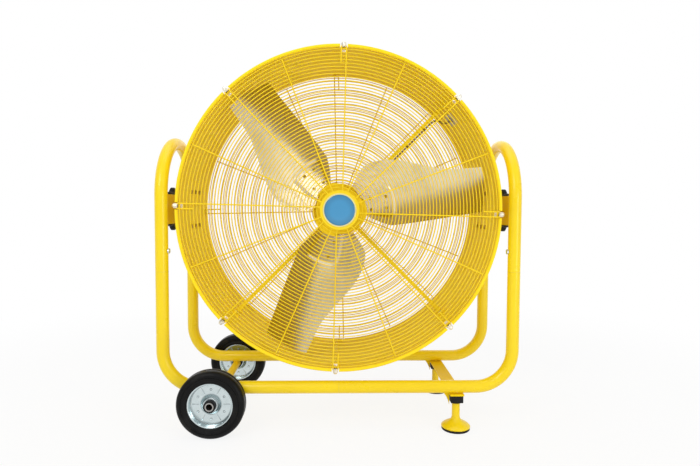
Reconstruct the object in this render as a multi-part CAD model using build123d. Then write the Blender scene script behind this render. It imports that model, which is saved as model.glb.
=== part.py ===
from build123d import *
import math
import os

# A tilting drum fan on a wheeled tube frame. Millimetres, +Z up, the front faces -Y, the wheels
# are on the -X side. The origin is on the floor, under the middle of the fan.

# ------------------------------------------------------------------ gaps used everywhere
SEAT = 0.05           # between two parts that are fixed to each other
RUNNING = 0.05        # radial clearance of a shaft in its bore
SLACK = 0.3           # between two parts that move past each other
THROUGH = 2.0         # how far a cutting tool reaches past the face it cuts

# ------------------------------------------------------------------ drum and its rims
DRUM_BORE = 477.0     # inside radius of the drum wall
DRUM_WALL = 1.5
DRUM_DEPTH = 380.0
BEAD_R = 4.5          # wired edge rolled outwards round both mouths
NOTCH_WIDTH = 22.0    # gap in the bead where a guard hairpin passes
NOTCH_DEPTH = 14.0
NOTCH_CORNER = 4.0
STATIONS = 8          # guard bolts round each mouth
STATION_TURN = -1.3   # degrees that the stations are turned, seen from the front

# ------------------------------------------------------------------ wire guards
RING_WIRE_R = 1.5
SPOKE_WIRE_R = 2.0
RING_COUNT = 41
RING_PITCH = 10.1
RING_RIM_GAP = 5.0    # outermost ring to the drum wall, centre line
GUARD_RECESS = 2.5    # spoke centre line behind the drum's front plane
HAIRPIN_HALF = 7.5    # half the distance between a hairpin's legs
HAIRPIN_BEND = 6.0
SHORT_LEG_INNER = 429.0
LEG_INNER = 52.0      # inner end of every spoke, under the centre plate
GUARD_PLATE_R = 59.0
GUARD_PLATE_T = 2.0
BADGE_R = 46.0
BADGE_T = 2.0
BADGE_RING_R = 50.0
GUARD_BOLT_BACK = 28.0   # bolt centre behind the drum's front plane
GUARD_BOLT_R = 5.0
GUARD_WASHER_R = 10.0
GUARD_WASHER_T = 1.6
GUARD_CAP_R = 8.5       # domed nut outside
GUARD_CAP_H = 18.0
GUARD_HEAD_AF = 17.0    # bolt head inside
GUARD_HEAD_H = 6.4

# ------------------------------------------------------------------ tube frame
TUBE_R = 19.0
TUBE_WALL = 2.0
CORNER_BEND = 112.0
RAIL_Y = 172.0        # front and rear tubes from the middle
DRUM_SIDE_GAP = 24.0  # rim bead to riser
SWING_GAP = 23.0      # rim corner to rail when the drum tilts
SEAM_DROP = 185.0     # riser joint below the tilt axis
ARCH_RISE = 229.0     # top of the side arch above the tilt axis
TUBE_SEAM = 0.4       # visible line between two tube ends
SLEEVE_WALL = 2.0
SLEEVE_HALF = 80.0
RAIL_SLEEVE_HALF = 60.0
RISER_BOLT_RISE = 61.0   # sleeve bolt above the riser joint
RISER_BOLT_R = 4.0
RISER_BOLT_HEAD_R = 7.5
RISER_BOLT_HEAD_H = 4.5

# ------------------------------------------------------------------ wheels and axle
WHEEL_R = 100.0
WHEEL_WIDTH = 50.0
WHEEL_INSET = 155.0   # axle from the riser, along X
WHEEL_SIDE_GAP = 6.0  # tyre to tube
TYRE_SEAT_R = 66.0
TYRE_ROUND = 13.0
TYRE_GROOVE_R = 84.0
TYRE_GROOVE_DEPTH = 1.2
DISC_T = 2.5
DISC_WEB_OUT = 4.0    # outer face of the disc's flat from the wheel's middle plane
DISC_LIP_OUT = 22.0
WELD_DIMPLES = 6
WELD_DIMPLE_R = 3.5
WELD_CIRCLE_R = 44.0
WELD_DIMPLE_H = 1.0
HUB_R = 18.0
HUB_PROUD = 0.5
AXLE_R = 12.7
AXLE_WALL = 3.2
AXLE_RAIL_GAP = 0.05
RETAINER_T = 2.0
AXLE_PROUD = 2.5

# ------------------------------------------------------------------ levelling feet
FOOT_INSET = 171.0    # foot from the riser, along X
FOOT_PAD_R = 43.0
FOOT_PAD_H = 8.0
FOOT_DISC_R = 44.0
FOOT_DISC_EDGE = 4.0
FOOT_DISC_RISE = 17.0
FOOT_STEM_R = 12.0
FOOT_STEM_FLARE = 22.0
SOCKET_SIDE = 38.0
SOCKET_H = 24.0
SOCKET_ROOF = 3.0
STRIP_WIDTH = 42.0
STRIP_T = 5.0
STRIP_OVERHANG = 20.0
GUSSET_REACH = 35.0
GUSSET_DROP = 36.0
GUSSET_T = 5.0

# ------------------------------------------------------------------ tilt pivots
PIVOT_PLATE_T = 5.0
PIVOT_PLATE_H = 92.0
PIVOT_PLATE_CORNER = 8.0
STUD_R = 10.0
STUD_HEAD_R = 17.0
STUD_HEAD_H = 6.0
SPACER_R = 22.0
FRICTION_R = 32.0
FRICTION_T = 3.0
WEB_PROUD = 13.0      # bracket web beyond the rim bead
WEB_T = 5.0
WEB_HALF_H = 38.0
FLANGE_HALF_H = 74.0
FLANGE_T = 4.0
PIVOT_BRACKET_HALF = 68.0
PIVOT_BOLT_PITCH = 50.0
PIVOT_BOLT_RISE = 55.0
PIVOT_BOLT_R = 4.0
PIVOT_BOLT_HEAD_R = 6.5
PIVOT_BOLT_HEAD_H = 4.0
PIVOT_NUT_R = 7.0
PIVOT_NUT_H = 6.5
HANDWHEEL_R = 70.0
HANDWHEEL_HUB_R = 24.0
HANDWHEEL_HUB_H = 30.0
HANDWHEEL_RIM_H = 16.0
HANDWHEEL_RIM_STEP = 6.0
HANDWHEEL_FLUTES = 8
HANDWHEEL_FLUTE_R = 14.0
HANDWHEEL_ROUND = 4.0
HANDWHEEL_ROOF = 4.0

# ------------------------------------------------------------------ motor and its mount
MOTOR_R = 80.0
MOTOR_BASE_R = 74.0   # root of the cooling fins
MOTOR_BORE = 70.0
MOTOR_FRONT = -38.0
MOTOR_BAND_END = 28.0
MOTOR_LENGTH = 170.0
MOTOR_REAR_BAND = 10.0
FIN_COUNT = 30
FIN_T = 3.0
BELL_T = 18.0
BELL_WALL = 3.0
BEARING_R = 26.0
SHAFT_R = 12.0
SHAFT_PORT_GAP = 0.8
STATOR_LENGTH = 100.0
STATOR_FRONT = -18.0
STATOR_BORE = 45.0
AIR_GAP = 0.6
WINDING_R = 64.0
WINDING_BORE = 48.0
WINDING_H = 14.0
BELL_SCREW_R = 2.5
BELL_SCREW_HEAD_R = 4.0
BELL_SCREW_HEAD_H = 4.0
BELL_SCREW_CIRCLE_R = 75.0
BELL_SCREW_DEPTH = 8.0
CLAMP_T = 4.0
STRUT_WIDTH = 12.0
STRUT_DEPTH = 50.0
STRUT_WALL = 1.5
STRUT_FOOT_WIDTH = 30.0
STRUT_FOOT_DEPTH = 96.0
STRUT_FOOT_T = 4.0
STRUT_BOLT_Y = 38.0
TERMINAL_ANGLE = 20.0
TERMINAL_WIDTH = 60.0
TERMINAL_FRONT = 50.0
TERMINAL_LENGTH = 60.0
TERMINAL_TOP = 116.0
TERMINAL_WALL = 2.5
TERMINAL_LID_T = 3.0

# ------------------------------------------------------------------ rotor
BLADES = 3
BLADE_ANGLE = 7.7     # middle of the first blade's tip, from +X towards +Z
BLADE_TIP_GAP = 20.0  # tip to drum wall
BLADE_T = 2.0
BLADE_MID_Y = -95.0
BLADE_ROOT_R = 92.0
ROOT_PITCH = 25.0     # degrees from the plane of rotation
TIP_PITCH = 23.0
TIP_CAMBER = 9.0
ROOT_CAMBER = 0.6
PITCH_AXIS = 5.0      # the line about which the blade is pitched, from its middle line
BLADE_SPREAD = (-95.0, 150.0)    # how far the sheet reaches to each side of its middle line
# the blade's outline from the front, as pairs of radius and distance from its middle line
BLADE_ROOT_LEFT = (47.0, 65.0)
BLADE_ROOT_MIDDLE = (70.0, 24.0)
BLADE_ROOT_RIGHT = (64.0, -18.0)
BLADE_LEFT_EDGE = ((88.0, 120.0), (144.0, 133.0), (206.0, 124.0), (295.0, 95.0), (354.0, 80.0))
BLADE_RIGHT_EDGE = ((140.0, -63.0), (200.0, -72.0))
BLADE_TIP_LEFT = 74.0
BLADE_TIP_RIGHT = 66.0
ARM_WIDTH = 56.0
ARM_END_R = 166.0
ARM_T = 5.0
HUB_BOSS_R = 32.0
HUB_BOSS_FRONT = -108.0
HUB_BOSS_LENGTH = 44.0
HUB_PLATE_T = 3.0
HUB_PLATE_LOBE = 38.0
HUB_PLATE_LOBE_R = 49.0
HUB_PLATE_TURN = -15.0
HUB_SCREW_R = 3.0
HUB_SCREW_CIRCLE = 24.0
HUB_SCREW_HEAD_R = 5.0
HUB_SCREW_HEAD_H = 4.0
HUB_SCREW_DEPTH = 14.0
SHAFT_NUT_AF = 30.0
SHAFT_NUT_H = 12.0
SHAFT_PROUD = 3.0
RIVET_ROWS = (100.0, 148.0)
RIVET_HALF = 18.0
RIVET_R = 2.4
RIVET_HEAD_R = 4.5
RIVET_HEAD_H = 1.8

# ------------------------------------------------------------------ wiring
CABLE_R = 3.0
CLIP_WALL = 1.5
CLIP_WIDTH = 7.0
CLIP_RADII = (225.0, 305.0, 385.0)
STRUT_ANGLES = (45.0, 135.0, 225.0, 315.0)
SWITCH_ANGLE = 39.0
GROMMET_Y = 10.0
GROMMET_HOLE_R = 7.0
GROMMET_FLANGE_R = 10.0
GROMMET_FLANGE_T = 2.0
BACKPLATE_T = 2.0
BACKPLATE_HALF = 20.0
BACKPLATE_LENGTH = 86.0
BOX_HALF = 32.0
BOX_FRONT = -15.0
BOX_LENGTH = 120.0
BOX_HEIGHT = 50.0
BOX_WALL = 2.5
BOX_FLOOR = 3.0
BOX_LID_T = 2.5
BOX_LID_OVERHANG = 1.5
LID_SCREW_R = 2.0
LID_SCREW_HEAD_R = 3.5
LID_SCREW_HEAD_H = 2.0
LID_SCREW_DEPTH = 8.0
LID_POST = 7.0
BOX_SCREW_NEAR = 15.5    # screws before and behind the grommet
BOX_SCREW_FAR = 30.0
BOX_SCREW_R = 2.5
BOX_SCREW_HEAD_R = 4.5
BOX_SCREW_HEAD_H = 3.0
KNOB_R = 18.0
KNOB_H = 15.0
KNOB_POINTER_WIDTH = 7.0
KNOB_POINTER_H = 5.0
SWITCH_SHAFT_R = 4.0
SWITCH_BODY = 30.0
GLAND_R = 11.0
GLAND_LENGTH = 20.0
GLAND_BORE_R = 5.0
GLAND_THREAD_R = 9.0

# ------------------------------------------------------------------ sizes that follow
DRUM_OUT = DRUM_BORE + DRUM_WALL
BEAD_CENTRE_R = DRUM_OUT + BEAD_R - DRUM_WALL / 2
BEAD_OUT = BEAD_CENTRE_R + BEAD_R
HALF_DEPTH = DRUM_DEPTH / 2
RISER_X = BEAD_OUT + DRUM_SIDE_GAP + TUBE_R
AXLE_Z = WHEEL_R
RAIL_Z = AXLE_Z + AXLE_R + AXLE_RAIL_GAP + TUBE_R
SWING_R = math.hypot(BEAD_OUT, HALF_DEPTH)
AXIS_Z = RAIL_Z + math.sqrt((SWING_R + SWING_GAP + TUBE_R) ** 2 - RAIL_Y ** 2)
SEAM_Z = AXIS_Z - SEAM_DROP
ARCH_CENTRE_Z = AXIS_Z + ARCH_RISE - TUBE_R - RAIL_Y
RAIL_BOTTOM = RAIL_Z - TUBE_R
WHEEL_X = -(RISER_X - WHEEL_INSET)
WHEEL_IN_Y = RAIL_Y + TUBE_R + WHEEL_SIDE_GAP
WHEEL_Y = WHEEL_IN_Y + WHEEL_WIDTH / 2
FOOT_X = RISER_X - FOOT_INSET
STRIP_TOP = RAIL_BOTTOM - SEAT
SOCKET_TOP = STRIP_TOP - STRIP_T
STUD_WEB_X = BEAD_OUT + WEB_PROUD
PLATE_IN_X = RISER_X - PIVOT_PLATE_T / 2
PLATE_OUT_X = RISER_X + PIVOT_PLATE_T / 2
MOTOR_REAR = MOTOR_FRONT + MOTOR_LENGTH
TIP_R = DRUM_BORE - BLADE_TIP_GAP
GUARD_Y = HALF_DEPTH - GUARD_RECESS
RING_Y = GUARD_Y - SPOKE_WIRE_R - RING_WIRE_R - SEAT
OUTER_RING_R = DRUM_BORE - RING_RIM_GAP
CLAMP_R = MOTOR_R + SEAT + CLAMP_T
CABLE_SIDE = STRUT_WIDTH / 2 + SEAT + CLIP_WALL + CABLE_R
FLOOR_TURN = 360.0 / STATIONS


# ------------------------------------------------------------------ helpers
def at_clock(angle):
    """Place something built above the tilt axis (radius up, +X clockwise) at an angle from +X."""
    return Pos(0, 0, AXIS_Z) * Rot(0, 90 - angle, 0)


def on_axis(shape):
    """Lift something built about the Y axis to the drum's centre."""
    return Pos(0, 0, AXIS_Z) * shape


def rod(radius, start, end):
    """A round bar from one point to another."""
    run = Vector(*end) - Vector(*start)
    return Solid.make_cylinder(radius, run.length, Plane(origin=Vector(*start), z_dir=run))


def ring(outer, inner, start, end):
    """A straight tube from one point to another."""
    run = (Vector(*end) - Vector(*start)).normalized() * THROUGH
    bore = rod(inner, tuple(Vector(*start) - run), tuple(Vector(*end) + run))
    return rod(outer, start, end) - bore


def block(low, high):
    """A box given by its lowest and highest corners."""
    size = [b - a for a, b in zip(low, high)]
    return Pos(*low) * Box(*size, align=(Align.MIN, Align.MIN, Align.MIN))


def hex_bar(across_flats, start, end):
    """A hexagonal bar from one point to another."""
    run = Vector(*end) - Vector(*start)
    plane = Plane(origin=Vector(*start), z_dir=run)
    return extrude(plane * RegularPolygon(across_flats / math.sqrt(3), 6), amount=run.length)


def swept(path, outer, inner=0.0):
    """A round wire or, with an inner radius, a tube along a path."""
    start = Plane(origin=path @ 0, z_dir=path % 0)
    section = start * Circle(outer)
    if inner:
        section = section - start * Circle(inner)
    return sweep(section, path=path)


def turned(points, axis=Axis.Y):
    """A solid of revolution from a closed outline of straight lines."""
    return revolve(make_face(Polyline(*points, close=True)), axis)


def top_bolt(radius, head_r, head_h, nut_r, nut_h, low, high, place=(0, 0)):
    """A radial bolt built above the axis: its head under `low`, its nut above `high`."""
    x, y = place
    head = rod(head_r, (x, y, low - SEAT - head_h), (x, y, low - SEAT))
    nut = hex_bar(2 * nut_r, (x, y, high + SEAT), (x, y, high + SEAT + nut_h))
    shank = rod(radius, (x, y, low - SEAT - head_h / 2), (x, y, high + SEAT + nut_h))
    return head + shank + nut


def top_hole(radius, low, high, place=(0, 0)):
    """The clearance hole of such a bolt."""
    x, y = place
    return rod(radius + SEAT, (x, y, low - THROUGH), (x, y, high + THROUGH))


def drum_cylinder(radius, half_length=DRUM_DEPTH):
    """A long cylinder about the drum's own axis, at the origin."""
    return rod(radius, (0, -half_length, 0), (0, half_length, 0))


def mirrored_y(shape):
    """The same part at the rear of the frame."""
    return mirror(shape, Plane.XZ)


# ------------------------------------------------------------------ frame
def lower_tube(side, face):
    """One half of a lower frame: a riser, a swept corner and half of the floor tube."""
    x, y = side * RISER_X, face * RAIL_Y
    path = FilletPolyline(
        (x, y, SEAM_Z - TUBE_SEAM / 2), (x, y, RAIL_Z), (side * TUBE_SEAM / 2, y, RAIL_Z),
        radius=CORNER_BEND)
    return swept(path, TUBE_R, TUBE_R - TUBE_WALL)


def side_arch(side):
    """The grip arch over one side, down to the joint in both risers."""
    x = side * RISER_X
    low = SEAM_Z + TUBE_SEAM / 2
    front, rear = (x, -RAIL_Y, ARCH_CENTRE_Z), (x, RAIL_Y, ARCH_CENTRE_Z)
    path = Wire([
        Edge.make_line((x, -RAIL_Y, low), front),
        Edge.make_three_point_arc(front, (x, 0, ARCH_CENTRE_Z + RAIL_Y), rear),
        Edge.make_line(rear, (x, RAIL_Y, low))])
    arch = swept(path, TUBE_R, TUBE_R - TUBE_WALL)
    for face in (-1, 1):
        arch = arch - riser_bolt_hole(side, face)
    return arch


def riser_bolt_hole(side, face):
    z = SEAM_Z + RISER_BOLT_RISE
    start = side * (RISER_X - TUBE_R - THROUGH)
    return rod(RISER_BOLT_R + SEAT, (start, face * RAIL_Y, z), (side * RISER_X, face * RAIL_Y, z))


def riser_sleeve(side, face):
    """The short tube inside a riser that joins it to the arch."""
    x, y = side * RISER_X, face * RAIL_Y
    outer = TUBE_R - TUBE_WALL - SEAT
    low, high = SEAM_Z - SLEEVE_HALF, SEAM_Z + SLEEVE_HALF
    sleeve = ring(outer, outer - SLEEVE_WALL, (x, y, low), (x, y, high))
    return sleeve - riser_bolt_hole(side, face)


def rail_sleeve(face):
    """The short tube inside the floor tube at its middle seam."""
    outer = TUBE_R - TUBE_WALL - SEAT
    ends = [(end * RAIL_SLEEVE_HALF, face * RAIL_Y, RAIL_Z) for end in (-1, 1)]
    return ring(outer, outer - SLEEVE_WALL, *ends)


def riser_bolt(side, face):
    """The bolt that holds a sleeve, with its head on the inner side of the riser."""
    y, z = face * RAIL_Y, SEAM_Z + RISER_BOLT_RISE
    skin = RISER_X - TUBE_R
    flat = skin - SEAT
    head = rod(RISER_BOLT_HEAD_R, (side * (flat - RISER_BOLT_HEAD_H), y, z), (side * flat, y, z))
    reach = skin + TUBE_WALL + SLEEVE_WALL + THROUGH
    shank = rod(RISER_BOLT_R, (side * (flat - THROUGH), y, z), (side * reach, y, z))
    return head + shank


# ------------------------------------------------------------------ axle and wheels
def axle_tube():
    reach = WHEEL_IN_Y + WHEEL_WIDTH + HUB_PROUD + SLACK + RETAINER_T + AXLE_PROUD
    return ring(AXLE_R, AXLE_R - AXLE_WALL, (WHEEL_X, -reach, AXLE_Z), (WHEEL_X, reach, AXLE_Z))


def axle_spacer():
    """The washer between rail and wheel, at the front."""
    start = RAIL_Y + TUBE_R + SEAT
    end = WHEEL_IN_Y - HUB_PROUD - SLACK
    return ring(HUB_R, AXLE_R + SEAT, (WHEEL_X, -start, AXLE_Z), (WHEEL_X, -end, AXLE_Z))


def axle_retainer():
    """The push-on ring that keeps the front wheel on its axle."""
    start = WHEEL_IN_Y + WHEEL_WIDTH + HUB_PROUD + SLACK
    ends = [(WHEEL_X, -y, AXLE_Z) for y in (start, start + RETAINER_T)]
    return ring(HUB_R, AXLE_R + SEAT, *ends)


def at_front_wheel(shape):
    """Move something built about the Y axis, outer side at -Y, to the front wheel."""
    return Pos(WHEEL_X, -WHEEL_Y, AXLE_Z) * shape


def tyre():
    """Solid rubber tyre with rounded shoulders and a groove in each side wall."""
    half = WHEEL_WIDTH / 2
    bead = TYRE_SEAT_R + SEAT
    outline = Polyline(
        (bead, -half + 3), (bead + 4, -half), (WHEEL_R, -half), (WHEEL_R, half), (bead + 4, half),
        (bead, half - 3), close=True)
    section = make_face(outline)
    section = fillet(section.vertices().sort_by(Axis.X)[-2:], TYRE_ROUND)
    solid = revolve(section, Axis.Y)
    for side in (-1, 1):
        groove = Solid.make_torus(TYRE_GROOVE_R, TYRE_GROOVE_DEPTH, Plane.XZ)
        solid = solid - Pos(0, side * half, 0) * groove
    return at_front_wheel(solid)


def wheel_disc(side):
    """One pressed half of the steel wheel: rim band, flat with spot welds and hub cone."""
    web_in = DISC_WEB_OUT - DISC_T
    band_in = TYRE_SEAT_R - DISC_T
    hub = HUB_R + SEAT
    lip = DISC_LIP_OUT
    cone_out = lip - DISC_T
    outline = [
        (TYRE_SEAT_R, SEAT), (TYRE_SEAT_R, lip), (band_in, lip), (band_in - 2, DISC_WEB_OUT + 3),
        (band_in - 5, DISC_WEB_OUT), (hub + 12, DISC_WEB_OUT), (hub + DISC_T, cone_out),
        (hub, cone_out), (hub, cone_out - DISC_T), (hub + 11, web_in), (band_in - 3, web_in),
        (band_in, web_in), (band_in, SEAT)]
    disc = turned([(r, side * y) for r, y in outline])
    for index in range(WELD_DIMPLES):
        angle = math.radians(90 + index * 360 / WELD_DIMPLES)
        x, z = WELD_CIRCLE_R * math.cos(angle), WELD_CIRCLE_R * math.sin(angle)
        dimple = rod(WELD_DIMPLE_R, (x, side * (DISC_WEB_OUT - DISC_T / 2), z),
                     (x, side * (DISC_WEB_OUT + WELD_DIMPLE_H), z))
        disc = disc + dimple
    return at_front_wheel(disc)


def wheel_bush():
    """The black nylon bush that turns on the axle."""
    half = WHEEL_WIDTH / 2 + HUB_PROUD
    return at_front_wheel(ring(HUB_R, AXLE_R + RUNNING, (0, -half, 0), (0, half, 0)))


# ------------------------------------------------------------------ levelling feet
def foot_strip():
    """The flat bar welded under both rails, between the two feet."""
    reach = RAIL_Y + STRIP_OVERHANG
    half = STRIP_WIDTH / 2
    return block((FOOT_X - half, -reach, SOCKET_TOP), (FOOT_X + half, reach, STRIP_TOP))


def foot_socket(face):
    """The black square block that guides a foot's stem."""
    half = SOCKET_SIDE / 2
    low = SOCKET_TOP - SOCKET_H
    y = face * RAIL_Y
    body = block((FOOT_X - half, y - half, low), (FOOT_X + half, y + half, SOCKET_TOP))
    body = fillet(body.edges().filter_by(Axis.Z), 2)
    place = (FOOT_X, y)
    return body - rod(FOOT_STEM_R + RUNNING, (*place, low - THROUGH), (*place, SOCKET_TOP - SOCKET_ROOF))


def foot_gusset(face):
    """The small hollow-edged plate between rail and socket."""
    top = RAIL_BOTTOM - SEAT
    right = FOOT_X - STRIP_WIDTH / 2 - SEAT
    left = right - GUSSET_REACH / 2
    low = top - GUSSET_DROP
    outline = [
        Line((left, top), (right, top)), Line((right, top), (right, low)),
        ThreePointArc((right, low), (right - GUSSET_REACH * 0.17, top - GUSSET_DROP * 0.5), (left, top))]
    plane = Plane(origin=(0, face * RAIL_Y, 0), x_dir=(1, 0, 0), z_dir=(0, -1, 0))
    return extrude(plane * make_face(outline), amount=GUSSET_T / 2, both=True)


def foot_screw():
    """The front foot: a flared disc under a stem that runs up into its socket."""
    low = FOOT_PAD_H
    edge = low + FOOT_DISC_EDGE
    throat = edge + FOOT_DISC_RISE
    top = SOCKET_TOP - SOCKET_ROOF - SLACK
    outline = [
        (0, low), (FOOT_DISC_R, low), (FOOT_DISC_R, edge), (FOOT_STEM_FLARE, throat - 5),
        (FOOT_STEM_R, throat + 5), (FOOT_STEM_R, top), (0, top)]
    face = make_face(Polyline(*[(r, 0, z) for r, z in outline], close=True))
    return Pos(FOOT_X, -RAIL_Y, 0) * revolve(face, Axis.Z)


def foot_pad():
    """The rubber pad under the front foot."""
    return rod(FOOT_PAD_R, (FOOT_X, -RAIL_Y, 0), (FOOT_X, -RAIL_Y, FOOT_PAD_H))


# ------------------------------------------------------------------ tilt pivots
def pivot_plate(side):
    """The plate between a front and a rear riser that carries the drum's stud."""
    length = RAIL_Y - TUBE_R - SEAT
    half = PIVOT_PLATE_H / 2
    centre = side * RISER_X
    plate = block((centre - PIVOT_PLATE_T / 2, -length, AXIS_Z - half),
                  (centre + PIVOT_PLATE_T / 2, length, AXIS_Z + half))
    plate = fillet(plate.edges().filter_by(Axis.X), PIVOT_PLATE_CORNER)
    reach = PIVOT_PLATE_T
    hole = rod(STUD_R + RUNNING, (centre - reach, 0, AXIS_Z), (centre + reach, 0, AXIS_Z))
    return plate - hole


def pivot_angles():
    """The two rows of pivot bolts, as angles above and below the stud."""
    return [math.degrees(math.asin(rise / DRUM_OUT)) for rise in (-PIVOT_BOLT_RISE, PIVOT_BOLT_RISE)]


def pivot_bracket():
    """The hat-shaped bracket on the drum's right side, built about the origin."""
    reach = PIVOT_BRACKET_HALF
    flange = drum_cylinder(DRUM_OUT + SEAT + FLANGE_T) & block(
        (DRUM_BORE / 2, -reach, -FLANGE_HALF_H), (STUD_WEB_X, reach, FLANGE_HALF_H))
    web = block((DRUM_BORE / 2, -reach, -WEB_HALF_H), (STUD_WEB_X, reach, WEB_HALF_H))
    inner = WEB_HALF_H - WEB_T
    hollow = block((0, -reach - THROUGH, -inner), (STUD_WEB_X - WEB_T, reach + THROUGH, inner))
    bracket = flange + web - hollow - drum_cylinder(DRUM_OUT + SEAT)
    bracket = bracket - rod(STUD_R + SEAT, (DRUM_BORE, 0, 0), (RISER_X, 0, 0))
    for rise in pivot_angles():
        for y in (-PIVOT_BOLT_PITCH, 0, PIVOT_BOLT_PITCH):
            hole = top_hole(PIVOT_BOLT_R, DRUM_BORE, DRUM_OUT + FLANGE_T, (0, y))
            bracket = bracket - Rot(0, 90 - rise, 0) * hole
    return on_axis(bracket)


def pivot_bolt(angle, y):
    """One bolt through drum wall and bracket flange: round head inside, nut outside."""
    bolt = top_bolt(PIVOT_BOLT_R, PIVOT_BOLT_HEAD_R, PIVOT_BOLT_HEAD_H, PIVOT_NUT_R, PIVOT_NUT_H,
                    DRUM_BORE, DRUM_OUT + SEAT + FLANGE_T, (0, y))
    return at_clock(angle) * bolt


def pivot_stud():
    """The right stud: a head inside the bracket and a shank out to the hand-wheel."""
    inner = STUD_WEB_X - WEB_T - SEAT
    end = PLATE_OUT_X + SLACK + HANDWHEEL_HUB_H - HANDWHEEL_ROOF - SLACK
    head = rod(STUD_HEAD_R, (inner - STUD_HEAD_H, 0, 0), (inner, 0, 0))
    shank = rod(STUD_R, (inner - THROUGH, 0, 0), (end, 0, 0))
    return on_axis(head + shank)


def pivot_spacer():
    """The collar on the right stud between bracket and friction disc."""
    end = PLATE_IN_X - SLACK - FRICTION_T - SEAT
    return on_axis(ring(SPACER_R, STUD_R + SEAT, (STUD_WEB_X + SEAT, 0, 0), (end, 0, 0)))


def friction_disc():
    """The fibre disc that grips the right pivot plate when the hand-wheel is tight."""
    end = PLATE_IN_X - SLACK
    return on_axis(ring(FRICTION_R, STUD_R + SEAT, (end - FRICTION_T, 0, 0), (end, 0, 0)))


def handwheel():
    """The right hand-wheel: a fluted rim round a hub with a blind bore."""
    start = PLATE_OUT_X + SLACK
    end = start + HANDWHEEL_HUB_H
    rim_start = start + HANDWHEEL_RIM_STEP
    hub = rod(HANDWHEEL_HUB_R, (start, 0, 0), (end, 0, 0))
    rim = rod(HANDWHEEL_R, (rim_start, 0, 0), (rim_start + HANDWHEEL_RIM_H, 0, 0))
    rim = fillet(rim.edges(), HANDWHEEL_ROUND)
    for index in range(HANDWHEEL_FLUTES):
        angle = math.radians((index + 0.5) * 360 / HANDWHEEL_FLUTES)
        away = HANDWHEEL_R + HANDWHEEL_FLUTE_R * 0.7
        y, z = away * math.cos(angle), away * math.sin(angle)
        rim = rim - rod(HANDWHEEL_FLUTE_R, (start, y, z), (end, y, z))
    bore = rod(STUD_R + RUNNING, (start - THROUGH, 0, 0), (end - HANDWHEEL_ROOF, 0, 0))
    return on_axis(hub + rim - bore)


# ------------------------------------------------------------------ drum
def front_stations():
    return [index * 360 / STATIONS + STATION_TURN for index in range(STATIONS)]


def rear_stations():
    """The rear guard is the front one turned round, so its stations mirror across the middle."""
    return [180 - angle for angle in front_stations()]


def rim_notch():
    """The cutter for one notch in the front bead, built above the axis."""
    low, high = DRUM_BORE - THROUGH, BEAD_OUT + THROUGH
    half = NOTCH_WIDTH / 2
    front = -HALF_DEPTH - NOTCH_CORNER - THROUGH
    notch = block((-half, front, low), (half, -HALF_DEPTH + NOTCH_DEPTH, high))
    return fillet(notch.edges().filter_by(Axis.Z), NOTCH_CORNER)


def guard_bolt_hole():
    return top_hole(GUARD_BOLT_R, DRUM_BORE, DRUM_OUT, (0, -HALF_DEPTH + GUARD_BOLT_BACK))


def drum_shell():
    """The rolled steel drum with a wired bead at each mouth, its notches and its holes."""
    edge = HALF_DEPTH - BEAD_R
    wall = ring(DRUM_OUT, DRUM_BORE, (0, -edge, 0), (0, edge, 0))
    bead = Solid.make_torus(BEAD_CENTRE_R, BEAD_R, Plane.XZ)
    shell = wall.fuse(Pos(0, -edge, 0) * bead, Pos(0, edge, 0) * bead)
    cuts = []
    for angle in front_stations():
        turn = Rot(0, 90 - angle, 0)
        cuts += [turn * rim_notch(), turn * guard_bolt_hole()]
    cuts += [Rot(0, 0, 180) * cut for cut in cuts]
    for side in (0, 180):
        for rise in pivot_angles():
            for y in (-PIVOT_BOLT_PITCH, 0, PIVOT_BOLT_PITCH):
                hole = top_hole(PIVOT_BOLT_R, DRUM_BORE, DRUM_OUT, (0, y))
                cuts.append(Rot(0, 90 - side - rise, 0) * hole)
    for angle, y in strut_bolt_places():
        cuts.append(Rot(0, 90 - angle, 0) * top_hole(PIVOT_BOLT_R, DRUM_BORE, DRUM_OUT, (0, y)))
    switch_turn = Rot(0, 90 - SWITCH_ANGLE, 0)
    cuts.append(switch_turn * top_hole(GROMMET_HOLE_R, DRUM_BORE, DRUM_OUT, (0, GROMMET_Y)))
    for place in box_screw_places():
        cuts.append(switch_turn * top_hole(BOX_SCREW_R, DRUM_BORE, DRUM_OUT, place))
    return on_axis(shell.cut(*[solid for cut in cuts for solid in cut.solids()]))


# ------------------------------------------------------------------ guards, built at the front
def guard_rings():
    """The concentric wires, behind the spokes, eight-sided with an edge on the spokes."""
    rings = []
    for index in range(RING_COUNT):
        centre = (OUTER_RING_R - index * RING_PITCH, -RING_Y)
        section = Pos(*centre) * RegularPolygon(RING_WIRE_R, 8)
        rings.append(on_axis(revolve(section, Axis.Y)))
    return rings


def hairpin():
    """One wire built above the axis: in from the plate, over the rim, round the bolt and back."""
    outside = DRUM_OUT + SEAT + SPOKE_WIRE_R
    turn_y = -HALF_DEPTH + GUARD_BOLT_BACK
    half = HAIRPIN_HALF
    knee = outside - HAIRPIN_BEND
    bend = HAIRPIN_BEND * math.sqrt(0.5)
    elbow = (outside - HAIRPIN_BEND + bend, -GUARD_Y + HAIRPIN_BEND - bend)
    sides = {}
    for x, inner in ((half, LEG_INNER), (-half, SHORT_LEG_INNER)):
        start, bent = (x, -GUARD_Y, knee), (x, -GUARD_Y + HAIRPIN_BEND, outside)
        sides[x] = [
            Edge.make_line((x, -GUARD_Y, inner), start),
            Edge.make_three_point_arc(start, (x, elbow[1], elbow[0]), bent),
            Edge.make_line(bent, (x, turn_y, outside))]
    loop = Edge.make_three_point_arc(
        (half, turn_y, outside), (0, turn_y + half, outside), (-half, turn_y, outside))
    return swept(Wire([*sides[half], loop, *sides[-half]]), SPOKE_WIRE_R)


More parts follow.
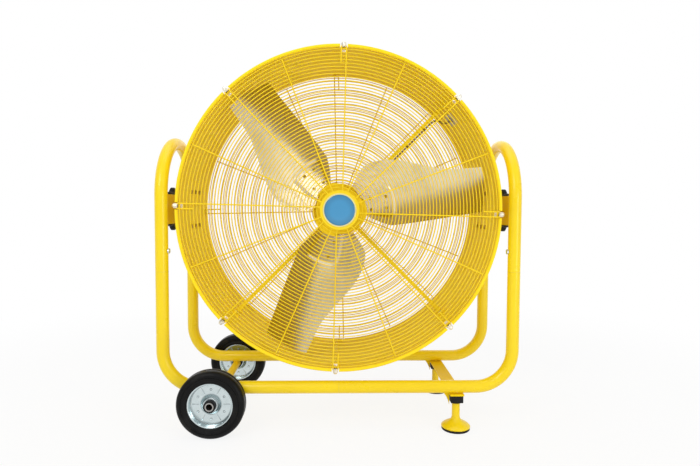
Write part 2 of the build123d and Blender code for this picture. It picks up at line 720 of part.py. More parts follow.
def guard_frame():
    """Spokes, hairpins and centre plate, welded into one piece."""
    pieces = []
    for angle in front_stations():
        pieces.append(at_clock(angle) * hairpin())
        single = rod(SPOKE_WIRE_R, (0, -GUARD_Y, LEG_INNER), (0, -GUARD_Y, OUTER_RING_R))
        pieces.append(at_clock(angle + 180 / STATIONS) * single)
    back = -GUARD_Y - SPOKE_WIRE_R / 2
    plate = ring(GUARD_PLATE_R, GUARD_BOLT_R, (0, back - GUARD_PLATE_T, AXIS_Z), (0, back, AXIS_Z))
    return plate.fuse(*[solid for piece in pieces for solid in piece.solids()])


def guard_badge():
    """The round badge on the front guard's plate, with a softened edge."""
    start = -GUARD_Y - SPOKE_WIRE_R / 2 - GUARD_PLATE_T
    badge = rod(BADGE_R, (0, start - BADGE_T, 0), (0, start, 0))
    return on_axis(fillet(badge.edges().sort_by(Axis.Y)[0], BADGE_T / 2))


def badge_ring():
    start = -GUARD_Y - SPOKE_WIRE_R / 2 - GUARD_PLATE_T
    return on_axis(ring(BADGE_RING_R, BADGE_R + SEAT, (0, start - BADGE_T, 0), (0, start, 0)))


def guard_bolt(angle):
    """The bolt that clamps a hairpin to the drum: washer and domed nut outside, head inside."""
    y = -HALF_DEPTH + GUARD_BOLT_BACK
    wire_top = DRUM_OUT + SEAT + 2 * SPOKE_WIRE_R + SEAT
    cap_low = wire_top + GUARD_WASHER_T
    dome = cap_low + GUARD_CAP_H - GUARD_CAP_R
    washer = rod(GUARD_WASHER_R, (0, y, wire_top), (0, y, cap_low))
    cap = rod(GUARD_CAP_R, (0, y, cap_low), (0, y, dome)) + Pos(0, y, dome) * Sphere(GUARD_CAP_R)
    corner = GUARD_HEAD_AF / math.sqrt(3)
    head_top = math.sqrt(DRUM_BORE ** 2 - corner ** 2) - SEAT
    head_low = head_top - GUARD_HEAD_H
    head = hex_bar(GUARD_HEAD_AF, (0, y, head_low), (0, y, head_top))
    shank = rod(GUARD_BOLT_R, (0, y, head_low), (0, y, dome))
    return at_clock(angle) * (washer + cap + head + shank)


def turned_to_rear(shape):
    """The same part at the other mouth of the drum."""
    return Rot(0, 0, 180) * shape


# ------------------------------------------------------------------ motor and struts
def strut():
    """One arm of the motor's cross, built above the axis: a flat box tube on a curved foot."""
    half, depth = STRUT_WIDTH / 2, STRUT_DEPTH / 2
    foot_in = DRUM_BORE - SEAT - STRUT_FOOT_T
    tube = block((-half, -depth, CLAMP_R / 2), (half, depth, foot_in + STRUT_FOOT_T / 2))
    wide, deep = half - STRUT_WALL, depth - STRUT_WALL
    cavity = block((-wide, -deep, 0), (wide, deep, foot_in))
    foot = block((-STRUT_FOOT_WIDTH / 2, -STRUT_FOOT_DEPTH / 2, DRUM_BORE / 2),
                 (STRUT_FOOT_WIDTH / 2, STRUT_FOOT_DEPTH / 2, DRUM_BORE))
    foot = (foot & drum_cylinder(DRUM_BORE - SEAT)) - drum_cylinder(foot_in)
    arm = tube - cavity - drum_cylinder(CLAMP_R + SEAT) + foot
    for y in (-STRUT_BOLT_Y, STRUT_BOLT_Y):
        arm = arm - top_hole(PIVOT_BOLT_R, foot_in, DRUM_BORE, (0, y))
    return arm


def strut_bolt_places():
    return [(angle, y) for angle in STRUT_ANGLES for y in (-STRUT_BOLT_Y, STRUT_BOLT_Y)]


def strut_bolt(angle, y):
    """A bolt through strut foot and drum wall: round head inside, nut outside."""
    foot_in = DRUM_BORE - SEAT - STRUT_FOOT_T
    bolt = top_bolt(PIVOT_BOLT_R, PIVOT_BOLT_HEAD_R, PIVOT_BOLT_HEAD_H, PIVOT_NUT_R, PIVOT_NUT_H,
                    foot_in, DRUM_OUT, (0, y))
    return at_clock(angle) * bolt


def motor_clamp():
    """The band round the motor that the four struts are welded to."""
    half = STRUT_DEPTH / 2
    return on_axis(ring(CLAMP_R, MOTOR_R + SEAT, (0, -half, 0), (0, half, 0)))


def motor_shell():
    """The finned motor casing."""
    core = rod(MOTOR_BASE_R, (0, MOTOR_FRONT, 0), (0, MOTOR_REAR, 0))
    band = rod(MOTOR_R, (0, MOTOR_FRONT, 0), (0, MOTOR_BAND_END, 0))
    rear_band = rod(MOTOR_R, (0, MOTOR_REAR - MOTOR_REAR_BAND, 0), (0, MOTOR_REAR, 0))
    fin = block((-FIN_T / 2, MOTOR_BAND_END - THROUGH, MOTOR_BORE + 1),
                (FIN_T / 2, MOTOR_REAR - MOTOR_REAR_BAND + THROUGH, MOTOR_R - 0.5))
    fins = [Rot(0, index * 360 / FIN_COUNT, 0) * fin for index in range(FIN_COUNT)]
    shell = core.fuse(band, rear_band, *[solid for one in fins for solid in one.solids()])
    shell = shell - drum_cylinder(MOTOR_BORE)
    for angle in bell_screw_angles():
        for start in (MOTOR_FRONT - THROUGH, MOTOR_REAR - BELL_SCREW_DEPTH - SLACK):
            end = start + BELL_SCREW_DEPTH + SLACK + THROUGH
            shell = shell - bell_screw_core(angle, start, end, SEAT)
    return on_axis(shell)


def bell_screw_angles():
    return [index * 90 for index in range(4)]


def bell_screw_core(angle, start, end, extra=0.0):
    x = BELL_SCREW_CIRCLE_R * math.cos(math.radians(angle))
    z = BELL_SCREW_CIRCLE_R * math.sin(math.radians(angle))
    return rod(BELL_SCREW_R + extra, (x, start, z), (x, end, z))


def end_bell(face):
    """A motor end cover with the bearing's pocket: face -1 is the front, +1 the rear."""
    seat = MOTOR_FRONT - SEAT if face < 0 else MOTOR_REAR + SEAT
    outer = seat + face * BELL_T
    bell = rod(MOTOR_R - 1, (0, seat, 0), (0, outer, 0))
    bell = fillet(bell.edges().sort_by(Axis.Y)[0 if face < 0 else -1], BELL_T / 3)
    pocket_end = outer - face * BELL_WALL
    bell = bell - rod(BEARING_R + SEAT, (0, seat - face, 0), (0, pocket_end, 0))
    port = SHAFT_R + SHAFT_PORT_GAP
    if face < 0:
        bell = bell - rod(port, (0, seat, 0), (0, outer + face, 0))
    for angle in bell_screw_angles():
        bell = bell - bell_screw_core(angle, outer + face, seat - face, SEAT)
    return on_axis(bell)


def bell_screw(angle, face):
    seat = MOTOR_FRONT - SEAT if face < 0 else MOTOR_REAR + SEAT
    outer = seat + face * BELL_T
    head_low = outer + face * SEAT
    x = BELL_SCREW_CIRCLE_R * math.cos(math.radians(angle))
    z = BELL_SCREW_CIRCLE_R * math.sin(math.radians(angle))
    head = rod(BELL_SCREW_HEAD_R, (x, head_low, z), (x, head_low + face * BELL_SCREW_HEAD_H, z))
    core = bell_screw_core(angle, head_low + face, seat - face * BELL_SCREW_DEPTH)
    return on_axis(head + core)


def bearing(face):
    """A motor bearing, seated in its bell and running on the shaft."""
    seat = MOTOR_FRONT - SEAT if face < 0 else MOTOR_REAR + SEAT
    end = seat + face * (BELL_T - BELL_WALL - SEAT)
    return on_axis(ring(BEARING_R, SHAFT_R + RUNNING, (0, seat, 0), (0, end, 0)))


def stator_core():
    rear = STATOR_FRONT + STATOR_LENGTH
    return on_axis(ring(MOTOR_BORE - SEAT, STATOR_BORE, (0, STATOR_FRONT, 0), (0, rear, 0)))


def winding(face):
    """The copper end turns on one side of the stator."""
    start = STATOR_FRONT - SEAT if face < 0 else STATOR_FRONT + STATOR_LENGTH + SEAT
    ends = [(0, start, 0), (0, start + face * WINDING_H, 0)]
    return on_axis(ring(WINDING_R, WINDING_BORE, *ends))


def terminal_box():
    """The wiring box saddled on the motor, built above the axis, open on top."""
    half = TERMINAL_WIDTH / 2
    rear = TERMINAL_FRONT + TERMINAL_LENGTH
    wall = TERMINAL_WALL
    body = block((-half, TERMINAL_FRONT, MOTOR_BASE_R), (half, rear, TERMINAL_TOP))
    body = fillet(body.edges().filter_by(Axis.Z), 4)
    floor = MOTOR_R + 2 * wall
    hollow = block((-half + wall, TERMINAL_FRONT + wall, floor), (half - wall, rear - wall, TERMINAL_TOP + 1))
    body = body - hollow - drum_cylinder(MOTOR_R + SEAT)
    x, y, z = terminal_exit()
    return body - rod(CABLE_R + SEAT, (x, y - THROUGH, z), (x, y + wall + THROUGH, z))


def terminal_exit():
    """Where the cable leaves the terminal box, in the box's own place above the axis."""
    return (-TERMINAL_WIDTH / 2 + 2 * CABLE_R, TERMINAL_FRONT, (MOTOR_R + TERMINAL_TOP) / 2 + CABLE_R)


def terminal_lid():
    half = TERMINAL_WIDTH / 2
    low = TERMINAL_TOP + SEAT
    rear = TERMINAL_FRONT + TERMINAL_LENGTH
    lid = block((-half, TERMINAL_FRONT, low), (half, rear, low + TERMINAL_LID_T))
    return fillet(lid.edges().filter_by(Axis.Z), 4)


# ------------------------------------------------------------------ rotor
def blade_section(radius, pitch, camber, offset, thickness):
    """A cambered strip across the blade, as a face above the axis at one radius."""
    low, high = BLADE_SPREAD
    middle = (low + high) / 2
    slope = math.tan(math.radians(pitch))

    def point(across, bulge, back):
        y = BLADE_MID_Y - slope * (across - PITCH_AXIS) - bulge + back
        return (-across, y, radius)

    front = [point(low, 0, offset), point(middle, camber, offset), point(high, 0, offset)]
    deep = offset + thickness
    rear = [point(high, 0, deep), point(middle, camber, deep), point(low, 0, deep)]
    edges = [
        Edge.make_three_point_arc(*front), Edge.make_line(front[2], rear[0]),
        Edge.make_three_point_arc(*rear), Edge.make_line(rear[2], front[0])]
    return Face(Wire(edges))


def blade_sheet(offset, thickness):
    """The twisted sheet that blades and arms are cut from."""
    reach = TIP_R + 4 * THROUGH
    root = [blade_section(radius, ROOT_PITCH, ROOT_CAMBER, offset, thickness)
            for radius in (10.0, BLADE_ROOT_R, ARM_END_R + 2 * RIVET_HEAD_R)]
    middle = blade_section((ARM_END_R + reach) / 2, (ROOT_PITCH + TIP_PITCH) / 2,
                           (ROOT_CAMBER + TIP_CAMBER) / 2, offset, thickness)
    tip = blade_section(reach, TIP_PITCH, TIP_CAMBER, offset, thickness)
    return loft([*root, middle, tip])


def blade_outline():
    """The blade as seen from the front, as a prism above the axis."""
    def place(radius, across):
        return (-across, radius)

    root_left, root_middle = place(*BLADE_ROOT_LEFT), place(*BLADE_ROOT_MIDDLE)
    root_right = place(*BLADE_ROOT_RIGHT)
    swell, straight = [place(*spot) for spot in BLADE_RIGHT_EDGE]
    tip_left = place(math.sqrt(TIP_R ** 2 - BLADE_TIP_LEFT ** 2), BLADE_TIP_LEFT)
    tip_right = place(math.sqrt(TIP_R ** 2 - BLADE_TIP_RIGHT ** 2), -BLADE_TIP_RIGHT)
    lines = [
        ThreePointArc(root_right, root_middle, root_left),
        Spline(root_left, *[place(*spot) for spot in BLADE_LEFT_EDGE], tip_left),
        ThreePointArc(tip_left, (0, TIP_R), tip_right),
        Line(tip_right, straight),
        ThreePointArc(straight, swell, root_right)]
    plane = Plane(origin=(0, -HALF_DEPTH, 0), x_dir=(1, 0, 0), z_dir=(0, 1, 0))
    return extrude(plane * mirror(make_face(lines), Plane.XZ), amount=HALF_DEPTH)


def rivet_plane(radius, across):
    """The place of one rivet on the front of the blade's flat root."""
    pitch = math.radians(ROOT_PITCH)
    y = BLADE_MID_Y - math.tan(pitch) * (across - PITCH_AXIS) - ROOT_CAMBER
    return Plane(origin=(-across, y, radius), z_dir=(math.sin(pitch), -math.cos(pitch), 0))


def rivet_places():
    return [(radius, PITCH_AXIS + side * RIVET_HALF) for radius in RIVET_ROWS for side in (-1, 1)]


def rivet_hole(radius, across):
    plane = rivet_plane(radius, across)
    depth = BLADE_T + ARM_T + 4 * THROUGH
    start = plane.origin + plane.z_dir * (2 * THROUGH)
    return Solid.make_cylinder(RIVET_R + SEAT, depth, Plane(origin=start, z_dir=plane.z_dir * -1))


def rivet(radius, across):
    """A rivet through blade and arm, with a head on each side."""
    plane = rivet_plane(radius, across)
    cosine = math.cos(math.radians(ROOT_PITCH))
    depth = (BLADE_T + ARM_T + SEAT) * cosine + SLACK
    up = plane.z_dir
    front = plane.origin + up * (2 * SEAT + ROOT_CAMBER * cosine)
    back = plane.origin - up * depth
    head = Solid.make_cylinder(RIVET_HEAD_R, RIVET_HEAD_H, Plane(origin=front, z_dir=up))
    tail = Solid.make_cylinder(RIVET_HEAD_R, RIVET_HEAD_H, Plane(origin=back, z_dir=up * -1))
    core = Solid.make_cylinder(RIVET_R, (front - back).length, Plane(origin=back, z_dir=up))
    return head + tail + core


def blade():
    """One sheet blade, built above the axis."""
    sheet = blade_sheet(0, BLADE_T) & blade_outline()
    for place in rivet_places():
        sheet = sheet - rivet_hole(*place)
    return sheet


def spider_arm():
    """The arm behind one blade, built above the axis."""
    half = ARM_WIDTH / 2
    prism = block((-PITCH_AXIS - half, -HALF_DEPTH, SHAFT_R), (-PITCH_AXIS + half, 0, ARM_END_R))
    arm = blade_sheet(BLADE_T + SEAT, ARM_T) & prism
    for place in rivet_places():
        arm = arm - rivet_hole(*place)
    return arm


def fan_spider():
    """The hub boss with its three riveted arms, one welded piece."""
    rear = HUB_BOSS_FRONT + HUB_BOSS_LENGTH
    boss = rod(HUB_BOSS_R, (0, HUB_BOSS_FRONT, AXIS_Z), (0, rear, AXIS_Z))
    for index in range(BLADES):
        boss = boss + at_clock(blade_angle(index)) * spider_arm()
    boss = boss - rod(SHAFT_R + SEAT, (0, -HALF_DEPTH, AXIS_Z), (0, 0, AXIS_Z))
    boss = boss - rod(HUB_BOSS_R * 4, (0, -HALF_DEPTH, AXIS_Z), (0, HUB_BOSS_FRONT, AXIS_Z))
    for angle in hub_screw_angles():
        end = HUB_BOSS_FRONT + HUB_SCREW_DEPTH + SLACK
        boss = boss - hub_screw_core(angle, HUB_BOSS_FRONT - 1, end, SEAT)
    return boss


def blade_angle(index):
    return BLADE_ANGLE + index * 360 / BLADES


def hub_screw_angles():
    return [index * 120 + 30 for index in range(3)]


def hub_screw_core(angle, start, end, extra=0.0):
    x = HUB_SCREW_CIRCLE * math.cos(math.radians(angle))
    z = AXIS_Z + HUB_SCREW_CIRCLE * math.sin(math.radians(angle))
    return rod(HUB_SCREW_R + extra, (x, start, z), (x, end, z))


def hub_screw(angle):
    x = HUB_SCREW_CIRCLE * math.cos(math.radians(angle))
    z = AXIS_Z + HUB_SCREW_CIRCLE * math.sin(math.radians(angle))
    plate_front = HUB_BOSS_FRONT - SEAT - HUB_PLATE_T - SEAT
    head = rod(HUB_SCREW_HEAD_R, (x, plate_front - HUB_SCREW_HEAD_H, z), (x, plate_front, z))
    return head + hub_screw_core(angle, plate_front - 1, HUB_BOSS_FRONT + HUB_SCREW_DEPTH)


def hub_plate():
    """The three-lobed plate in front of the blade roots."""
    back = HUB_BOSS_FRONT - SEAT
    lobes = []
    for index in range(BLADES):
        turn = Rot(0, 0, blade_angle(index) + HUB_PLATE_TURN)
        lobes.append(turn * Pos(HUB_PLATE_LOBE, 0) * Circle(HUB_PLATE_LOBE_R))
    outline = make_hull(Sketch(lobes).edges())
    plane = Plane(origin=(0, back, AXIS_Z), x_dir=(1, 0, 0), z_dir=(0, -1, 0))
    plate = extrude(plane * outline, amount=HUB_PLATE_T)
    plate = plate - rod(SHAFT_R + SEAT, (0, back - 2 * HUB_PLATE_T, AXIS_Z), (0, back + 1, AXIS_Z))
    for angle in hub_screw_angles():
        plate = plate - hub_screw_core(angle, back - 2 * HUB_PLATE_T, back + 1, SEAT)
    return plate


def shaft_nut():
    back = HUB_BOSS_FRONT - HUB_PLATE_T - 2 * SEAT
    nut = hex_bar(SHAFT_NUT_AF, (0, back, AXIS_Z), (0, back - SHAFT_NUT_H, AXIS_Z))
    return nut - rod(SHAFT_R + SEAT, (0, back - 2 * SHAFT_NUT_H, AXIS_Z), (0, back + 1, AXIS_Z))


def fan_shaft():
    front = HUB_BOSS_FRONT - HUB_PLATE_T - 2 * SEAT - SHAFT_NUT_H - SHAFT_PROUD
    rear = MOTOR_REAR + BELL_T - BELL_WALL - 2 * SEAT
    return rod(SHAFT_R, (0, front, AXIS_Z), (0, rear, AXIS_Z))


def rotor_core():
    rear = STATOR_FRONT + STATOR_LENGTH
    core = ring(STATOR_BORE - AIR_GAP, SHAFT_R + SEAT, (0, STATOR_FRONT, 0), (0, rear, 0))
    return on_axis(core)


# ------------------------------------------------------------------ wiring
def cable_path():
    """The motor cable's route beside the upper right strut, above the axis at the strut."""
    turn = math.radians(STRUT_ANGLES[0] - TERMINAL_ANGLE)
    x, y, z = terminal_exit()
    start_x = x * math.cos(turn) + z * math.sin(turn)
    start_z = z * math.cos(turn) - x * math.sin(turn)
    lean = math.radians(STRUT_ANGLES[0] - SWITCH_ANGLE)
    end_r = DRUM_OUT + BOX_FLOOR + CABLE_R
    inner_r = DRUM_BORE - 28
    points = [
        (start_x, y + TERMINAL_WALL, start_z),
        (start_x, 0, start_z),
        (CABLE_SIDE, 0, start_z + 75),
        (CABLE_SIDE, 0, DRUM_BORE - 43),
        (inner_r * math.sin(lean), GROMMET_Y, inner_r * math.cos(lean)),
        (end_r * math.sin(lean), GROMMET_Y, end_r * math.cos(lean))]
    return points


def cable_bends(points):
    """For each corner of a route, the largest bend radius that its two runs leave room for."""
    radii = []
    for before, corner, after in zip(points, points[1:], points[2:]):
        first = Vector(*corner) - Vector(*before)
        second = Vector(*after) - Vector(*corner)
        half_turn = math.radians(first.get_angle(second)) / 2
        radii.append(0.45 * min(first.length, second.length) / math.tan(half_turn))
    return radii


def motor_cable():
    points = cable_path()
    radii = cable_bends(points)
    print("cable bend radii", [round(radius, 1) for radius in radii])
    return at_clock(STRUT_ANGLES[0]) * swept(FilletPolyline(*points, radius=radii), CABLE_R)


def cable_clip(radius):
    """A saddle that holds the cable to the strut's side."""
    half = CLIP_WIDTH / 2
    centre = CABLE_SIDE
    low, high = (centre, 0, radius - half), (centre, 0, radius + half)
    outer = CABLE_R + SEAT + CLIP_WALL
    clip = rod(outer, low, high)
    saddle = block((STRUT_WIDTH / 2 + SEAT, -outer * 2, radius - half),
                   (centre - CABLE_R / 2, outer * 2, radius + half))
    clip = clip + saddle
    clip = clip - rod(CABLE_R + SEAT, (centre, 0, radius - CLIP_WIDTH), (centre, 0, radius + CLIP_WIDTH))
    return at_clock(STRUT_ANGLES[0]) * clip


def box_screw_places():
    return [(0, GROMMET_Y - BOX_SCREW_NEAR), (0, GROMMET_Y + BOX_SCREW_FAR)]


def wiring_backplate():
    """The grey plate inside the drum wall behind the switch box."""
    low = GROMMET_Y - BACKPLATE_LENGTH / 2
    half = BACKPLATE_HALF
    plate = block((-half, low, DRUM_BORE / 2), (half, low + BACKPLATE_LENGTH, DRUM_BORE))
    plate = (plate & drum_cylinder(DRUM_BORE - SEAT)) - drum_cylinder(DRUM_BORE - SEAT - BACKPLATE_T)
    plate = plate - top_hole(GROMMET_FLANGE_R, DRUM_BORE - BACKPLATE_T, DRUM_BORE, (0, GROMMET_Y))
    for place in box_screw_places():
        plate = plate - top_hole(BOX_SCREW_R, DRUM_BORE - BACKPLATE_T, DRUM_BORE, place)
    return at_clock(SWITCH_ANGLE) * plate


def cable_grommet():
    """The rubber ring where the cable passes the drum wall."""
    low = DRUM_BORE - 3 * SEAT - GROMMET_FLANGE_T
    flange = rod(GROMMET_FLANGE_R, (0, GROMMET_Y, low), (0, GROMMET_Y, DRUM_BORE - 3 * SEAT))
    sleeve = rod(GROMMET_HOLE_R - SEAT, (0, GROMMET_Y, low), (0, GROMMET_Y, DRUM_OUT - 2 * SEAT))
    return at_clock(SWITCH_ANGLE) * (flange + sleeve - top_hole(CABLE_R, low, DRUM_OUT, (0, GROMMET_Y)))


def switch_box():
    """The switch box on the outside of the drum, with a floor that follows the wall."""
    rear = BOX_FRONT + BOX_LENGTH
    top = DRUM_OUT + BOX_HEIGHT
    floor = DRUM_OUT + SEAT
    body = block((-BOX_HALF, BOX_FRONT, DRUM_BORE - BOX_HALF), (BOX_HALF, rear, top))
    body = fillet(body.edges().filter_by(Axis.Z), 5)
    wall = BOX_WALL
    inner = BOX_HALF - wall
    hollow = block((-inner, BOX_FRONT + wall, floor + BOX_FLOOR), (inner, rear - wall, top + 1))
    half = LID_POST / 2
    for x, y in lid_screw_places():
        hollow = hollow - block((x - half, y - half, 0), (x + half, y + half, top + 2))
    body = body - hollow - drum_cylinder(floor)
    body = body - top_hole(CABLE_R + SEAT, DRUM_OUT, floor + BOX_FLOOR, (0, GROMMET_Y))
    for place in box_screw_places():
        body = body - top_hole(BOX_SCREW_R, DRUM_OUT, floor + BOX_FLOOR, place)
    for x, y in lid_screw_places():
        body = body - rod(LID_SCREW_R + SEAT, (x, y, top - LID_SCREW_DEPTH - SLACK), (x, y, top + 1))
    _, _, height = knob_centre()
    body = body - rod(SWITCH_SHAFT_R + 2 * SLACK, (0, rear - 2 * wall, height), (0, rear + 1, height))
    side, y, height = gland_seat()
    body = body - rod(GLAND_THREAD_R + SEAT, (side - 2 * wall, y, height), (side + 1, y, height))
    return at_clock(SWITCH_ANGLE) * body


def lid_screw_places():
    inset = BOX_WALL + LID_POST / 2 - 1
    ys = (BOX_FRONT + inset, BOX_FRONT + BOX_LENGTH - inset)
    return [(side * (BOX_HALF - inset), y) for side in (-1, 1) for y in ys]


def switch_lid():
    low = DRUM_OUT + BOX_HEIGHT + SEAT
    reach = BOX_HALF + BOX_LID_OVERHANG
    front, rear = BOX_FRONT - BOX_LID_OVERHANG, BOX_FRONT + BOX_LENGTH + BOX_LID_OVERHANG
    lid = block((-reach, front, low), (reach, rear, low + BOX_LID_T))
    lid = fillet(lid.edges().filter_by(Axis.Z), 6)
    for x, y in lid_screw_places():
        lid = lid - rod(LID_SCREW_R + SEAT, (x, y, low - 1), (x, y, low + BOX_LID_T + 1))
    return at_clock(SWITCH_ANGLE) * lid


def lid_screw(place):
    x, y = place
    top = DRUM_OUT + BOX_HEIGHT
    low = top + 2 * SEAT + BOX_LID_T
    head = rod(LID_SCREW_HEAD_R, (x, y, low), (x, y, low + LID_SCREW_HEAD_H))
    core = rod(LID_SCREW_R, (x, y, top - LID_SCREW_DEPTH), (x, y, low + 1))
    return at_clock(SWITCH_ANGLE) * (head + core)


def box_screw(place):
    """A screw that holds backplate, drum wall and switch box together."""
    low = DRUM_BORE - SEAT - BACKPLATE_T - SEAT
    head = (BOX_SCREW_HEAD_R, BOX_SCREW_HEAD_H)
    screw = top_bolt(BOX_SCREW_R, *head, *head, low, DRUM_OUT + SEAT + BOX_FLOOR, place)
    return at_clock(SWITCH_ANGLE) * screw


def knob_centre():
    return (0, BOX_FRONT + BOX_LENGTH, DRUM_OUT + BOX_HEIGHT / 2 + BOX_FLOOR / 2)


def switch_body():
    """The rotary switch behind the box's rear wall, with its shaft."""
    _, rear, height = knob_centre()
    inside = rear - BOX_WALL - SEAT
    half = SWITCH_BODY / 2
    body = block((-half, inside - SWITCH_BODY, height - half), (half, inside, height + half))
    shaft = rod(SWITCH_SHAFT_R, (0, inside - 1, height), (0, rear + KNOB_H / 2, height))
    return at_clock(SWITCH_ANGLE) * (body + shaft)


def switch_knob():
    """The knob on the switch's shaft, with a raised pointer."""
    _, rear, height = knob_centre()
    low = rear + SLACK
    knob = rod(KNOB_R, (0, low, height), (0, low + KNOB_H - KNOB_POINTER_H, height))
    half = KNOB_POINTER_WIDTH / 2
    pointer = block((-half, low + 1, height - KNOB_R + 1), (half, low + KNOB_H, height + KNOB_R - 1))
    bore_end = rear + KNOB_H / 2 + SLACK
    knob = knob + pointer - rod(SWITCH_SHAFT_R + RUNNING, (0, rear, height), (0, bore_end, height))
    return at_clock(SWITCH_ANGLE) * knob


def gland_seat():
    """Where the supply gland goes through the box's clockwise side."""
    return (BOX_HALF, BOX_FRONT + BOX_LENGTH / 2, DRUM_OUT + BOX_HEIGHT / 2 + BOX_FLOOR / 2)


def cable_gland():
    """The supply cable's inlet: a hexagon, a domed nut and a thread through the box wall."""
    x, y, z = gland_seat()
    seat = x + SEAT
    nut_in = x - BOX_WALL - SEAT
    thread = rod(GLAND_THREAD_R, (nut_in - 4, y, z), (seat + 1, y, z))
    lock = hex_bar(2 * GLAND_R, (nut_in, y, z), (nut_in - 4, y, z))
    collar = hex_bar(2 * GLAND_R, (seat, y, z), (seat + GLAND_LENGTH / 2, y, z))
    dome = rod(GLAND_R, (seat + GLAND_LENGTH / 2 - 1, y, z), (seat + GLAND_LENGTH, y, z))
    dome = fillet(dome.edges().sort_by(Axis.X)[-1], GLAND_R / 4)
    bore = rod(GLAND_BORE_R, (nut_in - 5, y, z), (seat + GLAND_LENGTH + 1, y, z))
    return at_clock(SWITCH_ANGLE) * (thread + lock + collar + dome - bore)


# ------------------------------------------------------------------ every node of the fan
SIDES = {"left": -1, "right": 1}
FACES = {"front": -1, "rear": 1}
CORNERS = [(side, face) for side in SIDES.values() for face in FACES.values()]
BOTH_SIDES = [Rot(0, 0, turn) for turn in (0, 180)]


def frame_nodes():
    nodes = {}
    for side_name, side in SIDES.items():
        for face_name, face in FACES.items():
            nodes[f"{face_name}_frame_tube_{side_name}"] = [lower_tube(side, face)]
        nodes[f"side_arch_{side_name}"] = [side_arch(side)]
    nodes["tube_sleeves"] = [riser_sleeve(*corner) for corner in CORNERS]
    nodes["tube_sleeves"] += [rail_sleeve(face) for face in FACES.values()]
    nodes["riser_bolts"] = [riser_bolt(*corner) for corner in CORNERS]
    nodes["pivot_plates"] = [pivot_plate(side) for side in SIDES.values()]
    nodes["axle_tube"] = [axle_tube()]
    nodes["axle_collars"] = [axle_spacer(), mirrored_y(axle_spacer())]
    nodes["axle_collars"] += [axle_retainer(), mirrored_y(axle_retainer())]
    nodes["foot_crossbar"] = [foot_strip(), *[foot_gusset(face) for face in FACES.values()]]
    nodes["foot_sockets"] = [foot_socket(face) for face in FACES.values()]
    return nodes


def rolling_nodes():
    nodes = {}
    for name, place in (("front", lambda shape: shape), ("rear", mirrored_y)):
        nodes[f"tyre_{name}"] = [place(tyre())]
        nodes[f"wheel_discs_{name}"] = [place(wheel_disc(side)) for side in (-1, 1)]
        nodes[f"wheel_bush_{name}"] = [place(wheel_bush())]
        nodes[f"foot_screw_{name}"] = [place(foot_screw())]
        nodes[f"foot_pad_{name}"] = [place(foot_pad())]
    return nodes


def drum_nodes():
    rings, frame = guard_rings(), guard_frame()
    bolts = [guard_bolt(angle) for angle in front_stations()]
    rows = [(side + rise, y) for side in (0, 180) for rise in pivot_angles()
            for y in (-PIVOT_BOLT_PITCH, 0, PIVOT_BOLT_PITCH)]
    nodes = {
        "drum_shell": [drum_shell()],
        "guard_rings_front": rings,
        "guard_rings_rear": [turned_to_rear(one) for one in rings],
        "guard_frame_front": [frame],
        "guard_frame_rear": [turned_to_rear(frame)],
        "guard_badge": [guard_badge()],
        "badge_ring": [badge_ring()],
        "guard_bolts": bolts + [turned_to_rear(bolt) for bolt in bolts],
        "pivot_brackets": [turn * pivot_bracket() for turn in BOTH_SIDES],
        "pivot_studs": [turn * part for turn in BOTH_SIDES for part in (pivot_stud(), pivot_spacer())],
        "friction_discs": [turn * friction_disc() for turn in BOTH_SIDES],
        "pivot_bolts": [pivot_bolt(*place) for place in rows],
    }
    nodes["handwheel_right"], nodes["handwheel_left"] = [[turn * handwheel()] for turn in BOTH_SIDES]
    return nodes


def motor_nodes():
    struts = [at_clock(angle) * strut() for angle in STRUT_ANGLES]
    screws = [bell_screw(angle, face) for angle in bell_screw_angles() for face in FACES.values()]
    switch_screws = [lid_screw(place) for place in lid_screw_places()]
    return {
        "motor_struts": [motor_clamp(), *struts],
        "strut_bolts": [strut_bolt(*place) for place in strut_bolt_places()],
        "motor_shell": [motor_shell()],
        "motor_bells": [end_bell(face) for face in FACES.values()] + screws,
        "motor_bearings": [bearing(face) for face in FACES.values()],
        "motor_stator": [stator_core(), *[winding(face) for face in FACES.values()]],
        "terminal_box": [at_clock(TERMINAL_ANGLE) * part for part in (terminal_box(), terminal_lid())],
        "motor_cable": [motor_cable()],
        "cable_clips": [*[cable_clip(radius) for radius in CLIP_RADII], cable_grommet()],
        "wiring_backplate": [wiring_backplate()],
        "switch_box": [switch_box(), switch_lid(), switch_body()],
        "switch_screws": switch_screws + [box_screw(place) for place in box_screw_places()],
        "switch_knob": [switch_knob()],
        "cable_gland": [cable_gland()],
    }


def rotor_nodes():
    turns = [at_clock(blade_angle(index)) for index in range(BLADES)]
    nodes = {
        "fan_shaft": [fan_shaft()],
        "rotor_core": [rotor_core()],
        "fan_spider": [fan_spider()],
        "hub_plate": [hub_plate()],
        "rotor_fasteners": [shaft_nut(), *[hub_screw(angle) for angle in hub_screw_angles()]],
    }
    rivets = [turn * rivet(*place) for turn in turns for place in rivet_places()]
    nodes["rotor_fasteners"] += rivets
    one_blade = blade()
    for index, turn in enumerate(turns):
        nodes[f"blade_{index + 1}"] = [turn * one_blade]
    return nodes


def main():
    os.makedirs("parts", exist_ok=True)
    nodes = {**frame_nodes(), **rolling_nodes(), **drum_nodes(), **motor_nodes(), **rotor_nodes()}
    for name, shapes in nodes.items():
        solids = [solid for shape in shapes for solid in shape.solids()]
        export_step(Compound(solids), os.path.join("parts", name + ".step"))
    print(len(nodes), "nodes")


main()
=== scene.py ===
"""The looks of the drum fan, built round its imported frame.

The assemblies' own sizes are in millimetres and degrees. Finishes, node trees and the studio are in
metres.
"""

import logging
import math
from dataclasses import dataclass
from enum import Enum
from typing import Any, Callable, Sequence

import bmesh
import bpy
from mathutils import Matrix, Vector

